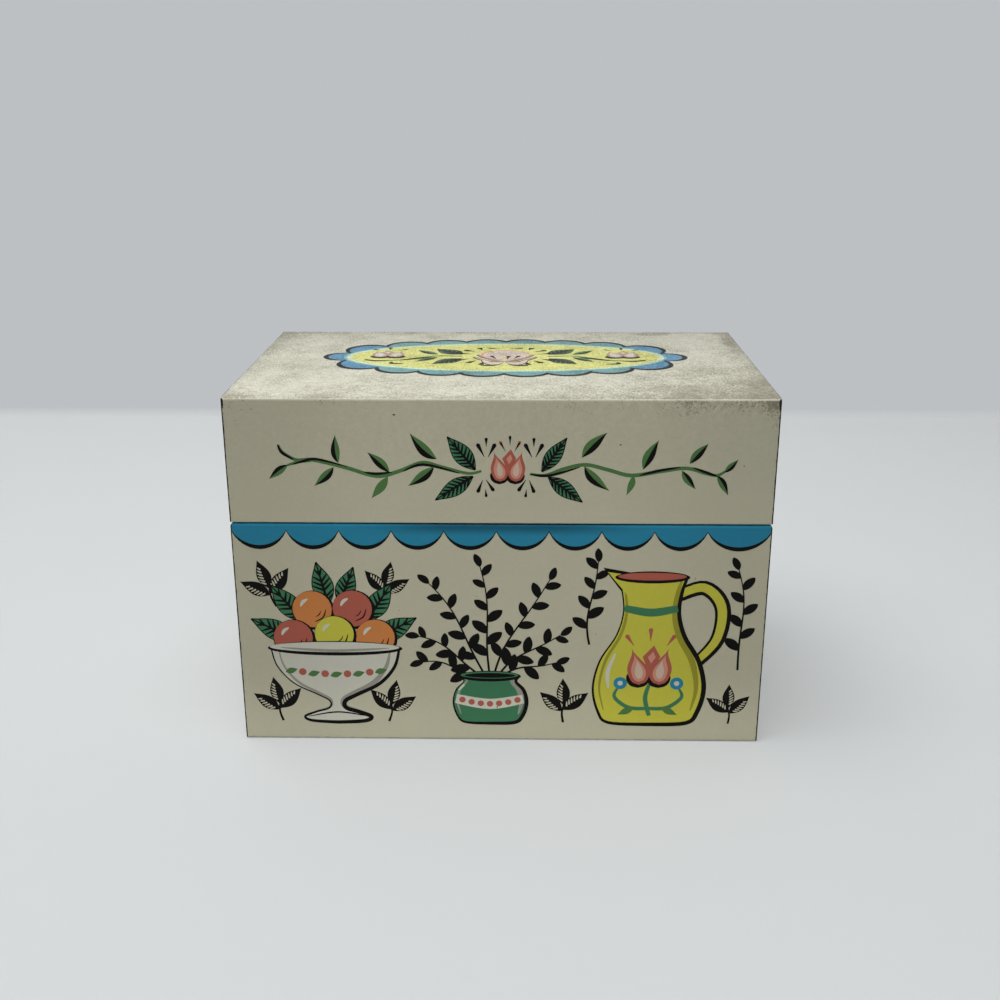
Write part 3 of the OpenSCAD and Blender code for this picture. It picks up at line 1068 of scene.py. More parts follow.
    def _build_sprig(self) -> None:
        """Builds the leafy stem: two bent grids for the stem, and leaves instanced along it."""
        t, g = self._start(Sprig)
        grid = add(t, "GeometryNodeMeshGrid",
                   {"Size X": 1.0, "Size Y": 1.0, "Vertices X": 33, "Vertices Y": 2})
        xyz = add(t, "ShaderNodeSeparateXYZ", {0: add(t, "GeometryNodeInputPosition")})
        share = add(t, MATH, {0: xyz.outputs[0], 1: 0.5}, operation="ADD")
        centre, heading = self._along(t, g, share)
        thin = add(t, MATH, {0: share, 1: -0.55, 2: 1.0}, operation="MULTIPLY_ADD")
        side = add(t, MATH, {0: xyz.outputs[1], 1: thin}, operation="MULTIPLY")
        side = add(t, MATH, {0: side, 1: g["stem"]}, operation="MULTIPLY")
        layers = []
        for ink, off in ((g["shadow_ink"], add(t, MATH, {0: side, 1: g["shadow"]}, operation="SUBTRACT")),
                         (g["stem_ink"], side)):
            place = self._beside(t, centre, heading, off)
            layers.append((add(t, "GeometryNodeSetPosition", {0: grid, "Position": place}), ink))

        line = add(t, "GeometryNodeMeshLine", {"Count": g["leaves"]})
        index = add(t, "GeometryNodeInputIndex")
        gaps = add(t, MATH, {0: g["leaves"], 1: 1.0}, operation="SUBTRACT")
        part = add(t, MATH, {0: index, 1: add(t, MATH, {0: gaps, 1: 1.0}, operation="MAXIMUM")},
                   operation="DIVIDE")
        share = add(t, "ShaderNodeMix", {0: part, 2: g["first"], 3: g["last"]})
        centre, heading = self._along(t, g, share.outputs[0])
        spots = add(t, "GeometryNodeSetPosition", {0: line, "Position": centre})
        chance = add(t, "FunctionNodeRandomValue", {2: 0.88, 3: 1.12, "Seed": g["seed"]})
        size = add(t, "ShaderNodeMix", {0: share.outputs[0], 2: 1.0, 3: g["taper"]})
        size = add(t, MATH, {0: size, 1: chance.outputs[1]}, operation="MULTIPLY")
        odd = add(t, MATH, {0: index, 1: 2.0}, operation="MODULO")
        tip_centre, tip_heading = self._along(t, g, 1.0)
        tip = add(t, "GeometryNodeSetPosition", {0: add(t, "GeometryNodeMeshLine", {"Count": 1}),
                                                 "Position": tip_centre})
        tip_size = add(t, MATH, {0: g["taper"], 1: g["tip_leaf"]}, operation="MULTIPLY")
        has_tip = add(t, MATH, {0: g["tip_leaf"], 1: 0.0}, operation="GREATER_THAN")
        for half, ink in ((1.0, g["upper_ink"]), (-1.0, g["lower_ink"])):
            leaf = self._half_leaf(t, g, half)
            # Leaves to the left of the stem, to the right of it, and one at its tip
            for side, points, wanted, turned, scaled in (
                    (1.0, spots, 0.0, heading, size), (-1.0, spots, 1.0, heading, size),
                    (0.0, tip, None, tip_heading, tip_size)):
                turn = add(t, MATH, {0: g["leaf_angle"], 1: side, 2: turned}, operation="MULTIPLY_ADD")
                flip = add(t, MATH, {0: scaled, 1: side or 1.0}, operation="MULTIPLY")
                scale = add(t, "ShaderNodeCombineXYZ", {0: scaled, 1: flip, 2: 1.0})
                if wanted is None:
                    chosen = has_tip
                else:
                    chosen = add(t, MATH, {0: odd, 1: wanted, 2: 0.1}, operation="COMPARE")
                    chosen = add(t, MATH, {0: chosen, 1: g["paired"]}, operation="MAXIMUM")
                leaves = add(t, "GeometryNodeInstanceOnPoints",
                             {"Points": points, "Selection": chosen, "Instance": leaf,
                              "Rotation": add(t, "ShaderNodeCombineXYZ", {2: turn}), "Scale": scale})
                layers.append((leaves, ink))
        self._finish(t, layers)

    def _half_leaf(self, t: bpy.types.NodeTree, g: Any, half: float) -> bpy.types.Node:
        """Adds nodes that shape one half of a leaf, along +x from its base at the origin.

        Args:
            t: The tree.
            g: Outputs of the tree's group input.
            half: 1 for the half to the left of the midrib, -1 for the other.

        Returns:
            Node with the half leaf.
        """
        disc = add(t, "GeometryNodeMeshCircle", {"Vertices": 20, "Radius": 1.0}, fill_type="NGON")
        xyz = add(t, "ShaderNodeSeparateXYZ", {0: add(t, "GeometryNodeInputPosition")})
        share = add(t, MATH, {0: xyz.outputs[0], 1: 0.5, 2: 0.5}, operation="MULTIPLY_ADD")
        x = add(t, MATH, {0: share, 1: g["leaf"]}, operation="MULTIPLY")
        outside = add(t, MATH, {0: xyz.outputs[1], 1: 0.0}, operation="MAXIMUM")
        wide = add(t, MATH, {0: outside, 1: 1.5}, operation="POWER")
        wide = add(t, MATH, {0: wide, 1: g["leaf_width"]}, operation="MULTIPLY")
        wide = add(t, MATH, {0: wide, 1: 0.5}, operation="MULTIPLY")
        # The gap that leaves the midrib unprinted closes at both ends of the leaf
        gap = add(t, MATH, {0: xyz.outputs[1]}, operation="ABSOLUTE")
        gap = add(t, MATH, {0: gap, 1: g["midrib"]}, operation="MULTIPLY")
        wide = add(t, MATH, {0: wide, 1: gap}, operation="MAXIMUM")
        wide = add(t, MATH, {0: wide, 1: half}, operation="MULTIPLY")
        bent = add(t, MATH, {0: share, 1: x}, operation="MULTIPLY")
        y = add(t, MATH, {0: bent, 1: g["leaf_bend"], 2: wide}, operation="MULTIPLY_ADD")
        place = add(t, "ShaderNodeCombineXYZ", {0: x, 1: y})
        return add(t, "GeometryNodeSetPosition", {0: disc, "Position": place})

    def _along(self, t: bpy.types.NodeTree, g: Any, share: Any) -> tuple[bpy.types.Node, bpy.types.Node]:
        """Adds the stem's formula.

        Args:
            t: The tree.
            g: Outputs of the tree's group input.
            share: How far along the stem, from 0 to 1.

        Returns:
            Nodes with the stem's place there and its heading in radians.
        """
        # A straight stem is an arc too slight to see, which keeps the formula whole
        curl = add(t, MATH, {0: g["curl"], 1: 0.001}, operation="ADD")
        angle = add(t, MATH, {0: curl, 1: share}, operation="MULTIPLY")
        reach = add(t, MATH, {0: g["length"], 1: curl}, operation="DIVIDE")
        x = add(t, MATH, {0: add(t, MATH, {0: angle}, operation="SINE"), 1: reach}, operation="MULTIPLY")
        y = add(t, MATH, {0: 1.0, 1: add(t, MATH, {0: angle}, operation="COSINE")}, operation="SUBTRACT")
        y = add(t, MATH, {0: y, 1: reach}, operation="MULTIPLY")
        turns = add(t, MATH, {0: g["waves"], 1: 2 * math.pi}, operation="MULTIPLY")
        phase = add(t, MATH, {0: turns, 1: share}, operation="MULTIPLY")
        swing = add(t, MATH, {0: add(t, MATH, {0: phase}, operation="SINE"), 1: g["wave"]},
                    operation="MULTIPLY")
        spot = self._beside(t, add(t, "ShaderNodeCombineXYZ", {0: x, 1: y}), angle, swing)
        slope = add(t, MATH, {0: add(t, MATH, {0: phase}, operation="COSINE"), 1: g["wave"]},
                    operation="MULTIPLY")
        slope = add(t, MATH, {0: slope, 1: turns}, operation="MULTIPLY")
        lean = add(t, MATH, {0: slope, 1: g["length"]}, operation="ARCTAN2")
        return spot, add(t, MATH, {0: angle, 1: lean}, operation="ADD")

    def _beside(self, t: bpy.types.NodeTree, centre: Any, heading: Any, off: Any) -> bpy.types.Node:
        """Adds nodes that step off to the left of a heading.

        Args:
            t: The tree.
            centre: Where the step starts.
            heading: The heading in radians.
            off: How far to step.

        Returns:
            Node with the place reached.
        """
        aside = add(t, MATH, {0: add(t, MATH, {0: heading}, operation="SINE"), 1: -1.0}, operation="MULTIPLY")
        ahead = add(t, MATH, {0: heading}, operation="COSINE")
        left = add(t, "ShaderNodeCombineXYZ", {0: aside, 1: ahead})
        step = add(t, VECTOR, {0: left, "Scale": off}, operation="SCALE")
        return add(t, VECTOR, {0: centre, 1: step}, operation="ADD")


@dataclass
class Brush:
    """The decorator's motifs, each drawn at the origin and stamped where it is wanted."""

    grower: Grower

    def leaf(self, base: Point, tip: Point, bend: float = 0.0, dark: str = "left",
             ratio: float = 0.32) -> Artwork:
        """Draws a leaf with one green half and one black half.

        Args:
            base: Where it leaves the stem.
            tip: Its point.
            bend: How far the tip swings to the left, as a share of the length.
            dark: Which half is black, seen from the base: left, right or none.
            ratio: Width over length.

        Returns:
            The leaf.
        """
        length = math.dist(base, tip)
        turn = math.degrees(math.atan2(tip[1] - base[1], tip[0] - base[0]) - math.atan(bend))
        length /= math.hypot(1.0, bend)
        upper, rib, lower = leaf_edges(length, length * ratio, bend)
        drawn = Artwork()
        drawn.fill(Ink.BLACK if dark == "left" else Ink.LEAF, upper + rib[::-1])
        drawn.fill(Ink.BLACK if dark == "right" else Ink.LEAF, lower + rib[::-1])
        return Artwork().stamp(drawn, *base, turn)

    def veined_leaf(self, base: Point, tip: Point, ratio: float, veins: int = 7,
                    fill: Ink = Ink.GREEN, bend: float = 0.0, weight: float = 1.0) -> Artwork:
        """Draws a broad green leaf with a black outline, midrib and slanting veins."""
        length = math.dist(base, tip) / math.hypot(1.0, bend)
        turn = math.degrees(math.atan2(tip[1] - base[1], tip[0] - base[0]) - math.atan(bend))
        upper, rib, lower = leaf_edges(length, length * ratio, bend, 20)
        drawn = Artwork().fill(fill, upper + lower[::-1])
        for edge in (upper, lower):
            drawn.stroke(Ink.BLACK, edge[::2], 0.25 * weight, 0.22 * weight, 0.3 * weight)
            for k in range(veins):
                start = 2 + round(k * 14 / veins)
                drawn.stroke(Ink.BLACK, (rib[start], edge[min(start + 3, 19)]), 0.55 * weight, 0.5, 0.15)
        drawn.stroke(Ink.BLACK, rib[::2], 0.7 * weight, 0.55 * weight, 0.2)
        return Artwork().stamp(drawn, *base, turn)

    def dab(self, ink: Ink, start: Point, end: Point, width: float = 0.9) -> Artwork:
        """Draws a dab that starts as a hair and ends in a round blob."""
        turn = math.degrees(math.atan2(end[1] - start[1], end[0] - start[0]))
        return Artwork().stamp(Artwork().fill(ink, drop(math.dist(start, end) + width / 3, width)), *start, turn)

    def flame(self, ink: Ink, x: float, y: float, width: float, height: float, lean: float = 0.0) -> Artwork:
        """Draws a petal with a round foot at (x, y) and a point above it that leans sideways."""
        left, right = [], []
        belly = 0.36
        for i in range(21):
            t = i / 20
            if t < belly:
                half = math.sqrt(1 - ((belly - t) / belly) ** 2)
            else:
                half = 0.5 + 0.5 * math.cos(math.pi * (t - belly) / (1 - belly))
            middle = lean * max(0.0, t - belly * 0.5) ** 1.5
            left.append((x + middle - width / 2 * half, y + t * height))
            right.append((x + middle + width / 2 * half, y + t * height))
        return Artwork().fill(ink, right + left[::-1])

    def tulip(self, rim: Ink = Ink.CORAL, petal: Ink = Ink.PINK, heart: Ink = Ink.BLUSH,
              shadow: float = 0.7) -> Artwork:
        """Draws the folk tulip, 8.5 mm wide: two flame petals, a point between them, a shadow.

        Args:
            rim: Ink of the petals' rims.
            petal: Ink inside the rims.
            heart: Ink of the petals' hearts.
            shadow: How far the black shadow shows below the petals.

        Returns:
            The tulip, its middle at the origin.
        """
        art = Artwork()
        for side in (-1, 1):
            art.stamp(self.flame(Ink.BLACK, side * 1.95 - 0.15, -3.6 - shadow, 3.9 + shadow, 6.0))
        art.fill(rim, [(0.0, -1.2), (2.0, 2.3), (0.7, 4.7), (-1.4, 2.3)])
        art.fill(petal, [(0.25, 0.9), (1.1, 2.2), (0.6, 3.4), (-0.4, 2.2)])
        for side in (-1, 1):
            lean = side * 2.2
            art.stamp(self.flame(rim, side * 1.95, -3.6, 4.15, 7.8, lean))
            art.stamp(self.flame(petal, side * 1.95, -3.0, 2.8, 6.0, lean * 0.7))
            art.stamp(self.flame(heart, side * 1.95, -2.35, 1.5, 4.2, lean * 0.3))
        return art

    def fan(self, ink: Ink, size: float = 1.0) -> Artwork:
        """Draws three dabs that fly up and outwards from the origin."""
        art = Artwork()
        art.stamp(self.dab(ink, (0.0, 2.3), (0.0, 4.0), 0.85))
        for side in (-1, 1):
            art.stamp(self.dab(ink, (side * 0.4, 0.0), (side * 1.8, 2.7), 1.1))
        return Artwork().stamp(art, scale=size)


# The lid's vine: its two stems from the tulip outwards, the shaded stretches of them, and its
# leaves with base, tip, bend and dark half
VINE_LEFT = ((-4.6, 74.7), (-8.0, 74.1), (-14.6, 75.8), (-19.2, 76.8), (-24.8, 74.6), (-30.4, 73.3),
             (-38.0, 75.5), (-45.9, 77.4), (-50.0, 77.4), (-53.2, 79.3), (-54.3, 81.2))
VINE_RIGHT = ((7.3, 74.0), (11.0, 73.7), (16.0, 75.5), (21.0, 76.4), (26.5, 75.1), (32.1, 73.7),
              (39.2, 74.8), (45.5, 75.6), (50.2, 74.3), (53.0, 73.8), (54.9, 74.8))
VINE_SHADE = (
    ((-54.4, 81.3), (-53.4, 79.2), (-50.6, 77.5)), ((-51.0, 76.2), (-48.5, 77.0), (-45.0, 77.6), (-37.5, 75.7)),
    ((-33.4, 74.3), (-30.5, 73.9), (-26.6, 74.3)), ((-24.0, 74.5), (-18.8, 76.3), (-10.0, 74.1)),
    ((7.2, 73.9), (12.0, 73.6), (19.5, 75.8)), ((34.0, 73.7), (38.5, 74.9), (44.0, 75.9)),
    ((47.0, 75.8), (50.5, 74.5), (53.3, 73.5)),
)
VINE_LEAVES = (
    ((-52.1, 76.1), (-57.0, 72.4), 0.12, "right"),
    ((-39.7, 76.6), (-40.2, 83.8), -0.25, "left"),
    ((-40.9, 75.6), (-45.9, 70.7), -0.15, "left"),
    ((-27.2, 74.2), (-32.5, 79.4), 0.12, "left"),
    ((-27.6, 73.2), (-31.9, 67.5), -0.1, "none"),
    ((-15.5, 77.7), (-22.0, 84.3), -0.28, "left"),
    ((-16.2, 75.8), (-22.7, 70.8), -0.15, "left"),
    ((19.9, 78.2), (26.0, 84.6), -0.18, "right"),
    ((20.6, 76.0), (26.9, 69.7), 0.3, "right"),
    ((34.9, 75.2), (38.5, 82.7), -0.15, "right"),
    ((32.6, 73.8), (31.0, 68.5), -0.25, "none"),
    ((46.2, 76.7), (50.6, 81.9), -0.12, "right"),
    ((44.4, 75.0), (48.0, 70.2), 0.15, "left"),
    ((54.6, 74.5), (58.0, 77.9), 0.1, "right"),
    ((52.9, 73.8), (56.0, 68.6), -0.2, "left"),
)


@dataclass
class LidPrint:
    """The print on the lid: a vine on the front, a lobed medallion on top, a tulip on each end."""

    brush: Brush
    press: Press
    tulip_at: Point = (1.9, 75.6)
    medallion_at: Point = (0.5, 5.3)
    stem_w: float = 1.0
    end_reach: float = 30.5

    def vine(self, reach: float = 66.0) -> Artwork:
        """Draws the vine with its tulip in the middle.

        Args:
            reach: How far from the middle it may grow. A stem that is cut short ends in a leaf.

        Returns:
            The artwork, in x and height on the front.
        """
        art = Artwork()
        for stem in (VINE_LEFT, VINE_RIGHT):
            kept = [p for p in stem if abs(p[0]) < reach]
            art.stroke(Ink.LEAF, kept, 0.6, self.stem_w, 0.6)
            if len(kept) < len(stem):
                (x, z), side = kept[-1], math.copysign(1.0, stem[-1][0])
                art.stamp(self.brush.leaf((x, z), (x + side * 5.4, z + 4.6), 0.1, "none"))
            else:
                art.stroke(Ink.LEAF, [(-46.5, 77.3), (-49.5, 76.9), (-52.3, 76.0)], 0.9, 0.8, 0.5)
        for stretch in VINE_SHADE:
            if abs(stretch[-1][0]) < reach and abs(stretch[0][0]) < reach:
                art.stroke(Ink.BLACK, stretch, 0.15, 0.72, 0.15)
        for base, tip, bend, dark in VINE_LEAVES:
            if abs(tip[0]) < reach + 0.5:
                art.stamp(self.brush.leaf(base, tip, bend, dark))
        for base, tip, ratio in (((-6.1, 75.0), (-12.9, 83.4), 0.42), ((-6.7, 73.3), (-16.1, 67.1), 0.36),
                                 ((10.2, 74.6), (16.2, 83.2), 0.36), ((11.8, 73.2), (20.3, 66.7), 0.36)):
            art.stamp(self.brush.veined_leaf(base, tip, ratio))
        art.stamp(self.brush.tulip(), *self.tulip_at)
        x, z = self.tulip_at
        art.stamp(self.brush.dab(Ink.BLACK, (x + 0.5, z + 5.7), (x + 0.5, z + 7.9), 0.8))
        for side in (-1, 1):
            for ink, off, rise, width in ((Ink.CORAL, 1.2, 4.3, 1.0), (Ink.BLACK, 1.1, 4.1, 0.6)):
                start = (x + 0.5 + side * off, z + rise)
                end = (start[0] + side * 1.2, start[1] + 2.2)
                art.stamp(self.brush.dab(ink, start, end, width))
            for turn, size, aside, rise in ((0, 1.15, 0.5 + side * 5.8, 2.7),
                                            (180 - side * 6, 1.05, side * 5.3 - 0.5, -3.2)):
                art.stamp(self.brush.fan(Ink.BLACK, size), x + aside, z + rise, turn)
        return art

    def medallion(self) -> Artwork:
        """Draws the lobed medallion with a bloom, leaves and two small tulips.

        Returns:
            The artwork, about the medallion's middle.
        """
        art = self.brush.grower.grow(LobeRing(half_width=47.0, half_height=19.4, lobes=8, pitch=11.25,
                                              depth=3.6, line=1.6, end_lobe=4.3, fill_ink=Ink.SKY,
                                              side_ink=Ink.MIST))
        for ink, half_x, half_y in ((Ink.TEAL, 44.6, 18.9), (Ink.MINT, 43.9, 17.9), (Ink.STRAW, 42.7, 16.9)):
            art.fill(ink, oval(0.0, 0.0, half_x, half_y, n=72))
        side_art = Artwork()
        brush = self.brush
        stem = [(11.9, 0.6), (18.5, 1.2), (23.5, -1.2), (29.0, -4.3), (35.0, -4.9), (38.3, -3.6)]
        side_art.stroke(Ink.LEAF, stem, 1.0, 1.0, 0.6)
        side_art.stroke(Ink.BLACK, [(20.5, -0.6), (24.5, -2.4), (29.0, -4.8)], 0.3, 1.5, 0.3)
        side_art.stroke(Ink.BLACK, [(31.5, -5.0), (35.2, -5.3), (38.4, -3.9)], 0.4, 1.4, 0.8)
        side_art.stroke(Ink.BLACK, [(30.6, -6.6), (30.6, -8.5), (27.4, -8.9)], 0.5, 1.3, 0.6)
        side_art.stamp(brush.veined_leaf((12.1, 3.2), (19.4, 10.2), 0.56, 9, Ink.LEAF, weight=1.35))
        side_art.stamp(brush.veined_leaf((12.1, -2.2), (19.4, -9.0), 0.52, 9, Ink.LEAF, weight=1.35))
        side_art.stamp(brush.leaf((18.6, 3.0), (24.8, 9.0), 0.1, "right", 0.34))
        side_art.stamp(brush.leaf((18.6, -0.4), (24.4, -6.4), -0.1, "right", 0.34))
        side_art.stamp(brush.tulip(Ink.CLAY, Ink.SHELL, Ink.WHITE, 1.5), 32.6, 3.2, scale=1.05)
        for start, end in (((35.2, 8.3), (37.2, 9.6)), ((30.2, 8.3), (28.2, 9.6)), ((32.8, 9.0), (32.8, 11.8))):
            side_art.stamp(brush.dab(Ink.BLACK, start, end, 1.5))
        for start, end in (((8.4, 6.8), (11.0, 8.4)), ((9.2, 3.6), (12.4, 4.4)), ((6.6, 9.2), (7.4, 11.4)),
                           ((7.8, -4.6), (9.8, -7.2)), ((5.8, -6.6), (6.4, -9.4)), ((9.8, -2.4), (12.4, -4.2))):
            side_art.stamp(brush.dab(Ink.BLACK, start, end, 2.3))
        art.stamp(side_art)
        art.stamp(side_art, flip=True)
        art.stamp(self.bloom())
        return art

    def bloom(self) -> Artwork:
        """Draws the medallion's open bloom, seen from the side: petals round a pale heart."""
        art = Artwork()
        for side in (-1, 1):
            curve = [(side * 0.4, -6.4), (side * 2.8, -9.8), (side * 6.4, -10.4)]
            art.stroke(Ink.OLIVE, curve, 1.4, 1.6, 0.8)
            art.stroke(Ink.BLACK, [(x, y - 0.5) for x, y in curve], 0.6, 1.7, 0.6)
            for reach, rise, ink in ((8.6, 0.2, Ink.CLAY), (6.0, -4.4, Ink.SHELL), (7.6, 3.0, Ink.CLAY)):
                petal = [(0.0, -6.2), (side * reach * 0.55, rise - 4.2), (side * reach, rise)]
                art.stroke(Ink.BLACK, [(x + side * 0.2, y - 0.6) for x, y in petal], 0.4, 2.2, 0.6)
                art.stroke(ink, petal, 1.0, 2.5, 0.5)
                art.stroke(Ink.SHELL, [(x, y + 0.7) for x, y in petal], 0.3, 0.7, 0.2)
        art.fill(Ink.PINK, oval(0.0, 2.8, 6.8, 5.9))
        art.fill(Ink.SHELL, oval(0.2, 2.7, 6.4, 5.4))
        for x, y in ((-3.8, 1.0), (1.0, 0.8), (3.9, 1.2)):
            art.stamp(self.brush.dab(Ink.BLACK, (x * 0.62, y - 3.6), (x, y), 1.5))
        for side in (-1, 1):
            art.stamp(self.brush.dab(Ink.BLACK, (side * 0.9, 10.4), (side * 4.6, 11.7), 1.6))
        return art

    def build(self) -> None:
        """Prints the lid's faces."""
        top = Face("lid", (0.0, 0.0, SIZES.height), (1, 0, 0), (0, 1, 0))
        self.press.print("lid_top_print", top, Artwork().stamp(self.medallion(), *self.medallion_at))
        vine, short_vine = self.vine(), Artwork().stamp(self.vine(self.end_reach), -self.tulip_at[0])
        for side, art in (("front", vine), ("back", vine), ("left", short_vine), ("right", short_vine)):
            self.press.print(f"lid_{side}_print", WALLS[side].on("lid"), art)


# Right-hand profiles of the frieze's vessels, from the middle of the foot up to the rim
BOWL = ((0.0, 0.0), (6.2, 0.4), (7.8, 1.5), (5.2, 2.7), (2.0, 3.8), (1.8, 5.6), (4.4, 7.2), (10.0, 10.2),
        (13.6, 14.5), (14.8, 19.0))
CROCK = ((0.0, 0.0), (6.5, 0.3), (8.6, 2.4), (9.6, 6.2), (8.8, 9.8), (6.8, 12.2), (7.6, 13.8))
PITCHER = ((0.0, 0.0), (8.6, 0.4), (11.0, 3.2), (12.2, 9.0), (10.8, 15.6), (7.4, 21.6), (6.0, 27.0),
           (6.4, 32.0), (7.4, 35.4))


@dataclass
class BodyPrint:
    """The print on the body: scallops round the top edge, and friezes on the walls."""

    brush: Brush
    press: Press
    cusp_z: float = 59.1
    scallop_depth: float = 4.1
    line_w: float = 1.1
    ground_z: float = 5.0

    def scallops(self, half_width: float, count: int, first: float, pitch: float,
                 lower: float = 0.0) -> Artwork:
        """Draws the blue scalloped band along the top of a wall.

        Args:
            half_width: Half the band's width.
            count: Number of scallops.
            first: Where the first inner cusp is.
            pitch: From cusp to cusp.
            lower: How much lower the band starts than on the front.

        Returns:
            The band.
        """
        return self.brush.grower.grow(Scallops(
            half_width=half_width - 0.08, top=SIZES.wall_top - lower, cusp=self.cusp_z - lower / 2,
            depth=self.scallop_depth - lower / 2, line=self.line_w, count=count, first=first, pitch=pitch))

    def vessel(self, fill: Ink, profile: Sequence[Point]) -> Artwork:
        """Draws a turned vessel: its fill, soft shading, and an outline that is thick at the right.

        Args:
            fill: Ink of the vessel.
            profile: Points up its right side, from the middle of the foot to the rim.

        Returns:
            The vessel, its foot at the origin.
        """
        right = smooth(profile)
        left = [(-x, y) for x, y in right]
        art = Artwork().fill(fill, right + left[::-1])
        shade = Ink.OLIVE if fill is Ink.YELLOW else Ink.GREY
        inner = [(x * 0.86, y * 0.98 + 0.4) for x, y in profile]
        art.stroke(shade, inner[2:], 0.3, 1.5, 0.3)
        art.stroke(shade, [(-x * 1.03, y) for x, y in inner[2:]], 0.2, 0.7, 0.2)
        art.stroke(Ink.BLACK, profile, 0.9, 1.05, 0.6)
        art.stroke(Ink.BLACK, [(-x, y) for x, y in profile], 0.9, 0.4, 0.35)
        return art

    def fruit(self, ink: Ink, x: float, y: float, size: float = 4.2) -> Artwork:
        """Draws a round fruit with a black edge at its lower right and a highlight."""
        art = Artwork().fill(Ink.BLACK, oval(x + 0.25, y - 0.25, size + 0.4, size + 0.4))
        art.fill(ink, oval(x, y, size, size))
        for ink, share, angles, width in ((Ink.WHITE, 0.6, (1.9, 2.4, 2.9), 0.8),
                                          (Ink.BLACK, 0.7, (-1.4, -0.7, 0.0), 0.35),
                                          (Ink.BLACK, 0.45, (-1.2, -0.7, -0.2), 0.25)):
            arc = [(x + size * share * math.cos(a), y + size * share * math.sin(a)) for a in angles]
            art.stroke(ink, arc, 0.1, width, 0.1)
        return art

    def fruit_bowl(self) -> Artwork:
        """Draws a pale footed bowl heaped with fruit and leaves, 31 mm wide and 41 mm high."""
        brush = self.brush
        art = Artwork()
        for base, tip in (((-9.0, 21.5), (-19.0, 26.5)), ((-7.0, 26.0), (-14.0, 35.0)), ((9.0, 21.5), (19.0, 27.0)),
                          ((7.5, 26.0), (13.5, 35.5)), ((-1.0, 30.0), (-3.4, 40.6)), ((1.5, 30.0), (5.0, 39.4))):
            art.stamp(brush.veined_leaf(base, tip, 0.44, 6))
        for ink, x, y in ((Ink.ORANGE, -4.8, 29.0), (Ink.CORAL, 4.4, 29.2), (Ink.CORAL, -9.5, 21.8),
                          (Ink.ORANGE, 9.4, 22.0), (Ink.YELLOW, 0.0, 22.8)):
            art.stamp(self.fruit(ink, x, y, 4.5))
        art.stamp(self.vessel(Ink.WHITE, BOWL))
        art.fill(Ink.BLACK, oval(0.0, 19.2, 15.6, 1.85, n=40))
        art.fill(Ink.WHITE, oval(-0.1, 19.5, 15.0, 1.3, n=40))
        art.stroke(Ink.GREY, [(-12.5, 19.3), (0.0, 18.6), (12.5, 19.3)], 0.15, 0.7, 0.15)
        art.stroke(Ink.BLACK, [(-7.0, 1.5), (0.0, 2.7), (6.8, 1.7)], 0.15, 0.4, 0.15)
        # A garland of leaves and dots round the bowl
        for k in range(-4, 5):
            x, y = k * 2.6, 12.4 + 0.06 * k * k
            if k % 2:
                art.fill(Ink.CORAL, oval(x, y + 0.2, 0.9, 0.9, n=14))
            else:
                art.stamp(brush.leaf((x - 1.4, y - 0.3), (x + 1.5, y + 0.5), 0.0, "none", 0.5))
        return art

    def herb_crock(self) -> Artwork:
        """Draws a squat green crock with a fan of black leafy stems, 40 mm wide."""
        art = Artwork()
        stems = ((90, 31.0, 0.15, 8), (71, 31.0, -0.3, 8), (110, 30.0, 0.3, 8), (51, 20.5, -0.5, 6),
                 (130, 20.0, 0.5, 6), (31, 15.0, -0.5, 4), (149, 15.0, 0.5, 4))
        for k, (turn, length, curl, leaves) in enumerate(stems):
            stem = self.sprig(length, curl, leaves, k)
            art.stamp(stem, (turn - 90) * -0.05, 13.5, turn)
        art.stamp(self.vessel(Ink.GREEN, CROCK))
        art.fill(Ink.BLACK, oval(0.0, 13.8, 8.1, 1.55, n=32))
        art.fill(Ink.GREEN, oval(-0.1, 14.1, 7.5, 1.0, n=32))
        art.fill(Ink.BLACK, oval(0.0, 14.0, 6.6, 0.7, n=32))
        art.stroke(Ink.WHITE, [(-8.9, 7.2), (0.0, 5.7), (8.7, 7.2)], 2.6, 3.0, 2.5)
        for k in range(-3, 4):
            art.fill(Ink.CORAL, oval(k * 2.4, 5.75 + 0.13 * k * k, 0.85, 0.85, n=14))
        art.stroke(Ink.MINT, [(-6.6, 11.4), (-8.2, 9.6)], 0.3, 0.6, 0.2)
        return art

    def pitcher(self) -> Artwork:
        """Draws a yellow pitcher with a folk flower on it, 28 mm wide over its handle."""
        brush = self.brush
        art = Artwork()
        handle = [(5.6, 31.2), (11.2, 33.0), (15.2, 28.6), (14.6, 21.0), (10.4, 15.4)]
        art.stroke(Ink.BLACK, handle, 3.0, 3.5, 2.7)
        art.stroke(Ink.YELLOW, [(x - 0.15, y + 0.1) for x, y in handle], 1.7, 2.0, 1.4)
        art.fill(Ink.BLACK, [(-5.2, 30.2), (-10.6, 37.6), (-4.0, 36.4)])
        art.stamp(self.vessel(Ink.YELLOW, PITCHER))
        art.fill(Ink.YELLOW, [(-4.6, 30.4), (-9.6, 36.6), (-4.0, 35.8)])
        art.fill(Ink.BLACK, oval(0.0, 35.4, 8.0, 1.4, n=32))
        art.fill(Ink.CORAL, oval(-0.1, 35.6, 7.3, 0.9, n=32))
        art.stroke(Ink.GREEN, [(-5.8, 28.2), (0.0, 27.2), (5.7, 28.2)], 1.5, 1.9, 1.5)
        art.stroke(Ink.WHITE, [(-7.4, 17.5), (-9.0, 13.0), (-8.8, 9.0)], 0.2, 0.9, 0.2)
        art.stroke(Ink.GREEN, [(0.4, 2.2), (-0.6, 6.5), (0.2, 10.0)], 0.9, 1.0, 0.7)
        for side in (-1, 1):
            curl = [(0.0, 4.0), (side * 4.2, 4.2), (side * 7.4, 6.8), (side * 6.6, 9.2)]
            art.stroke(Ink.GREEN, curl, 0.8, 0.9, 0.4)
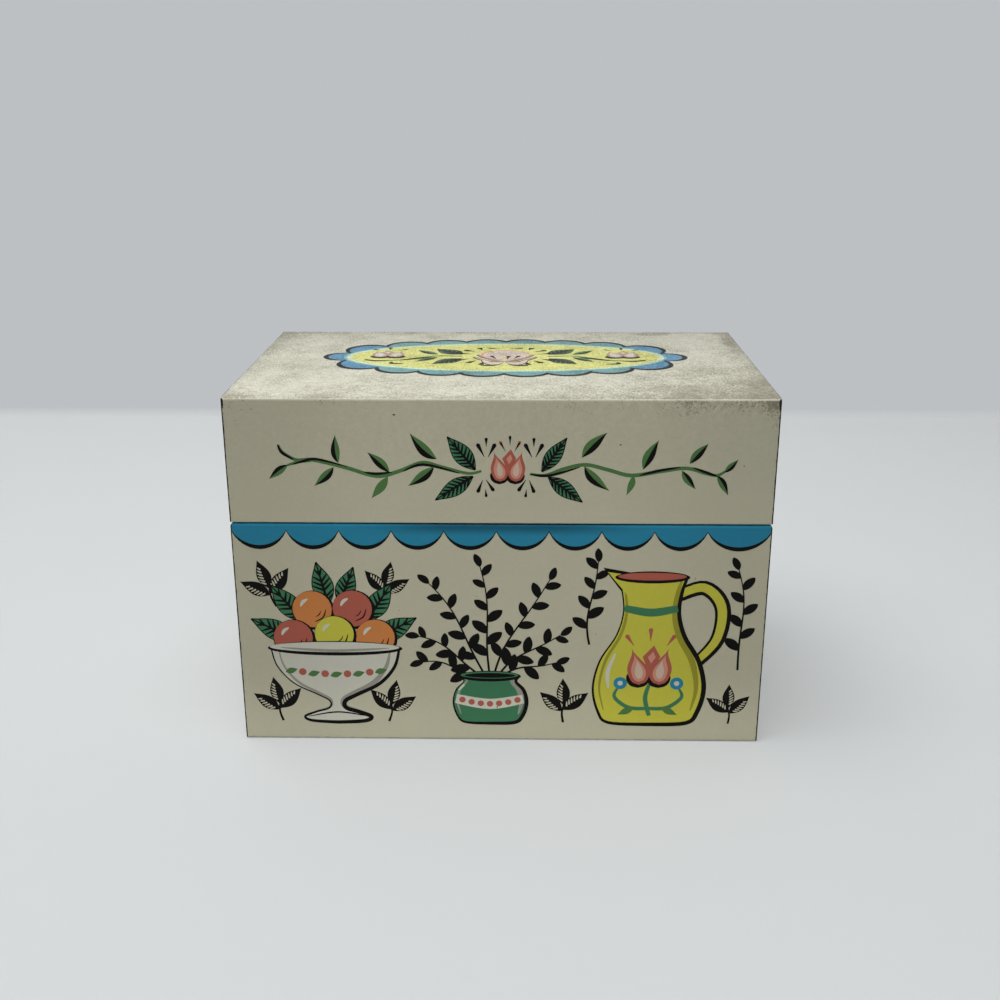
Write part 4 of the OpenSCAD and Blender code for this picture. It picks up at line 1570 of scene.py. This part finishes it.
            art.stamp(brush.leaf((side * 3.0, 4.4), (side * 6.6, 2.4), 0.1 * side, "none", 0.4))
            art.fill(Ink.BLUE, oval(side * 6.2, 10.2, 1.5, 1.5, n=16))
            art.fill(Ink.WHITE, oval(side * 6.2, 10.2, 0.6, 0.6, n=12))
        art.stamp(brush.tulip(), 0.1, 14.0, scale=1.15)
        for turn in (-34, 0, 34):
            art.stamp(brush.dab(Ink.CORAL, (0.0, 6.4), (0.0, 9.2), 1.2), 0.1, 14.0, turn)
        return art

    def sprig(self, length: float, curl: float, leaves: int, seed: int = 0) -> Artwork:
        """Grows a black sprig with solid pointed leaves, from the origin along +x."""
        return self.brush.grower.grow(Sprig(
            length=length, curl=curl, leaves=leaves, leaf=5.2, leaf_width=2.7, leaf_angle=0.72, seed=seed,
            wave=0.5, first=0.2, stem=0.6, midrib=0.0, taper=0.72))

    def hatched_sprig(self) -> Artwork:
        """Draws three broad black leaves on a stalk, with pale hatching on one half of each."""
        art = Artwork()
        art.stroke(Ink.BLACK, [(0.0, 0.0), (-0.6, 3.0), (-0.2, 6.0)], 0.7, 0.6, 0.5)
        for base, tip in (((-0.3, 5.4), (-1.2, 14.0)), ((-0.5, 3.6), (-7.4, 9.2)), ((-0.4, 4.0), (6.4, 10.0))):
            length = math.dist(base, tip)
            turn = math.degrees(math.atan2(tip[1] - base[1], tip[0] - base[0]))
            upper, rib, lower = leaf_edges(length, length * 0.44, 0.0, 20)
            leaf = Artwork().fill(Ink.BLACK, upper + lower[::-1])
            for k in range(6):
                start, end = Vector(rib[3 + 2 * k]), Vector(upper[6 + 2 * k])
                hatch = (tuple(start.lerp(end, 0.15)), tuple(start.lerp(end, 0.86)))
                leaf.stroke(Ink.CREAM, hatch, 0.42, 0.42, 0.14)
            art.stamp(leaf, *base, turn)
        return art

    def frieze(self) -> Artwork:
        """Draws the wide walls' frieze: fruit bowl, herb crock and pitcher, with sprigs between.

        Returns:
            The artwork, in x and height.
        """
        z = self.ground_z
        art = Artwork()
        for x, y, turn, size, flip in ((-57.4, 0.4, 4, 0.92, False), (-29.4, 0.4, -6, 0.88, True),
                                       (-57.2, 33.2, 14, 0.95, False), (-30.2, 34.2, -8, 0.84, True),
                                       (16.4, 0.4, -4, 0.92, False), (59.6, 0.4, 6, 0.82, True)):
            art.stamp(self.hatched_sprig(), x, z + y, turn, size, flip)
        for x, y, turn, length, curl in ((22.8, 23.0, 94, 23.0, -0.3), (61.2, 16.0, 84, 28.0, 0.3)):
            art.stamp(self.sprig(length, curl, 7, int(x)), x, z + y, turn)
        art.stamp(self.fruit_bowl(), -42.8, z, scale=1.12)
        art.stamp(self.herb_crock(), -2.8, z)
        art.stamp(self.pitcher(), 38.4, z, scale=1.18)
        return art

    def posy(self) -> Artwork:
        """Draws the narrow walls' posy: a tall tulip between leaves and black sprigs."""
        brush = self.brush
        art = Artwork()
        for side in (-1, 1):
            sprig = brush.grower.grow(Sprig(length=30.0, curl=-0.7 * side, leaves=9, leaf=5.0, leaf_width=2.2, seed=5))
            art.stamp(sprig, side * 2.0, 8.0, 90 - side * 42)
            art.stamp(brush.veined_leaf((side * 1.0, 12.0), (side * 11.0, 22.0), 0.4))
            art.stamp(brush.veined_leaf((side * 0.8, 8.0), (side * 12.5, 9.5), 0.36))
            art.stamp(brush.fan(Ink.BLACK), side * 11.5, 33.5, -side * 14)
        art.stroke(Ink.LEAF, [(0.6, 5.0), (-0.5, 14.0), (0.0, 27.0)], 1.1, 1.5, 1.0)
        art.stroke(Ink.BLACK, [(1.1, 5.0), (0.0, 14.0), (0.5, 27.0)], 0.2, 0.6, 0.3)
        art.stamp(brush.tulip(), 0.0, 34.0, scale=1.8)
        art.stamp(brush.fan(Ink.CORAL, 1.3), 0.3, 43.5)
        return art

    def build(self) -> None:
        """Prints the body's four walls."""
        frieze, posy = self.frieze(), self.posy()
        self.press.print("body_front_print", WALLS["front"], self.scallops(SIZES.half_w, 10, -53.6, 13.15).stamp(frieze))
        self.press.print("body_back_print", WALLS["back"], self.scallops(SIZES.half_w, 10, -53.6, 13.15, 1.0).stamp(frieze))
        end_half = SIZES.half_d - END_FOLD
        pitch = end_half / 3
        for side in ("left", "right"):
            band = self.scallops(end_half, 6, pitch - end_half, pitch)
            self.press.print(f"body_{side}_print", WALLS[side], band.stamp(posy))


@dataclass(frozen=True)
class Studio:
    """Pale paper sweep, soft light from above, and the camera at the photograph's angle."""

    camera_mm: tuple[float, float, float] = (5.4, -325.1, 164.5)
    yaw_deg: float = -1.105
    pitch_deg: float = -18.93
    roll_deg: float = 0.109
    focal_px: float = 1214.0
    frame_px: float = 1000.0
    sensor_mm: float = 36.0
    wall_y: float = 287.0
    sweep_r: float = 5.0
    sweep_half_w: float = 1500.0
    paper: str = "#dadddd"
    wall: str = "#bdc0c3"
    floor: str = "#d4d7d8"
    floor_glow: float = 0.36
    room: str = "#eef1f4"
    room_light: float = 0.08

    def camera(self) -> None:
        """Puts the camera where the photograph was taken from."""
        yaw, pitch, roll = (math.radians(a) for a in (self.yaw_deg, self.pitch_deg, self.roll_deg))
        data = bpy.data.cameras.new("camera")
        data.sensor_width = self.sensor_mm
        data.lens = self.sensor_mm * self.focal_px / self.frame_px
        data.clip_start, data.clip_end = 0.01, 10.0
        ob = bpy.data.objects.new("camera", data)
        bpy.context.scene.collection.objects.link(ob)
        turn = Matrix.Rotation(-yaw, 4, "Z") @ Matrix.Rotation(math.pi / 2 + pitch, 4, "X")
        turn = turn @ Matrix.Rotation(-roll, 4, "Z")
        ob.matrix_world = Matrix.Translation(Vector(self.camera_mm) * MM) @ turn
        bpy.context.scene.camera = ob

    def sweep(self) -> None:
        """Makes the floor and the wall behind it as one bent sheet of paper."""
        bend = [(self.wall_y - self.sweep_r * (1 - math.sin(a)), self.sweep_r * (1 - math.cos(a)))
                for a in (math.radians(9 * i) for i in range(11))]
        profile = [(-900.0, 0.0), *bend, (self.wall_y, 1500.0)]
        verts = [(x * MM, y * MM, z * MM) for y, z in profile for x in (-self.sweep_half_w, self.sweep_half_w)]
        faces = [(2 * i, 2 * i + 1, 2 * i + 3, 2 * i + 2) for i in range(len(profile) - 1)]
        mesh = bpy.data.meshes.new("paper_sweep")
        mesh.from_pydata(verts, [], faces)
        mesh.shade_smooth()
        mesh.materials.append(self.paper_material())
        ob = bpy.data.objects.new("paper_sweep", mesh)
        bpy.context.scene.collection.objects.link(ob)

    def paper_material(self) -> bpy.types.Material:
        """Matt paper. The camera sees the wall at its plain colour, and the floor with its shadow.

        Returns:
            The material.
        """
        material = bpy.data.materials.new("matt_paper")
        material.use_nodes = True
        t = material.node_tree
        t.nodes.clear()
        diffuse = add(t, "ShaderNodeBsdfDiffuse", {"Color": linear(self.paper)})
        coords = add(t, "ShaderNodeTexCoord")
        xyz = add(t, "ShaderNodeSeparateXYZ", {0: coords.outputs["Object"]})
        upright = add(t, "ShaderNodeMapRange", {0: xyz.outputs[2], 1: 0.0, 2: self.sweep_r * MM})
        tone = add(t, "ShaderNodeMix", {0: upright, 6: linear(self.floor), 7: linear(self.wall)},
                   data_type="RGBA")
        flat = add(t, "ShaderNodeEmission", {"Color": tone.outputs[2], "Strength": 1.0})
        share = add(t, "ShaderNodeMapRange", {0: upright, 3: self.floor_glow, 4: 1.0})
        factor = add(t, MATH, {0: self._seen(t), 1: share}, operation="MULTIPLY")
        both = add(t, "ShaderNodeMixShader", {0: factor, 1: diffuse, 2: flat})
        add(t, "ShaderNodeOutputMaterial", {0: both})
        return material

    def _seen(self, t: bpy.types.NodeTree) -> bpy.types.Node:
        """Adds a factor that is 1 where the camera or a gloss or glass sees the surroundings."""
        path = add(t, "ShaderNodeLightPath")
        seen = add(t, MATH, {0: path.outputs["Is Camera Ray"], 1: path.outputs["Is Glossy Ray"]},
                   operation="MAXIMUM")
        return add(t, MATH, {0: seen, 1: path.outputs["Is Transmission Ray"]}, operation="MAXIMUM")

    def light(self) -> None:
        """Lights the box with a wide soft box overhead and an even room light."""
        world = bpy.data.worlds.new("room")
        world.use_nodes = True
        t = world.node_tree
        t.nodes.clear()
        dim = add(t, "ShaderNodeBackground", {"Color": linear(self.room), "Strength": self.room_light})
        pale = add(t, "ShaderNodeBackground", {"Color": linear(self.wall), "Strength": 1.0})
        both = add(t, "ShaderNodeMixShader", {0: self._seen(t), 1: dim, 2: pale})
        add(t, "ShaderNodeOutputWorld", {0: both})
        bpy.context.scene.world = world
        data = bpy.data.lights.new("overhead", "AREA")
        data.shape, data.size, data.size_y, data.energy = "RECTANGLE", 0.9, 0.6, 7.4
        ob = bpy.data.objects.new("overhead", data)
        ob.location = (-0.14, -0.18, 0.85)
        aim = Vector((0.0, 0.0, 0.05)) - Vector(ob.location)
        ob.rotation_euler = aim.to_track_quat("-Z", "Y").to_euler()
        bpy.context.scene.collection.objects.link(ob)
        view = bpy.context.scene.view_settings
        view.view_transform = "Standard"

    def build(self) -> None:
        """Makes the camera, the paper and the lights."""
        self.camera()
        self.sweep()
        self.light()


@dataclass
class TinShell:
    """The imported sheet-metal pieces, dressed with their coat."""

    litho: Litho

    def dress(self) -> None:
        """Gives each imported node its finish."""
        for name, node in frame["nodes"].items():
            if name == "hinge_wire":
                material = self.litho.wire()
            else:
                side = Side[("BODY" if name.startswith("body") else "LID") + ("_WRAP" if "wrap" in name else "_END")]
                material = self.litho.sheet(side)
            node.data.materials.clear()
            node.data.materials.append(material)
            LOG.info("dressed %s as %s", name, material.name)


def main() -> None:
    """Builds the studio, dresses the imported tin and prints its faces."""
    logging.basicConfig(level=logging.INFO, format="%(name)s: %(message)s")
    Studio().build()
    litho = Litho(WornTin())
    TinShell(litho).dress()
    brush, press = Brush(Grower(litho)), Press(litho)
    LidPrint(brush, press).build()
    BodyPrint(brush, press).build()


if __name__ == "__main__":
    main()
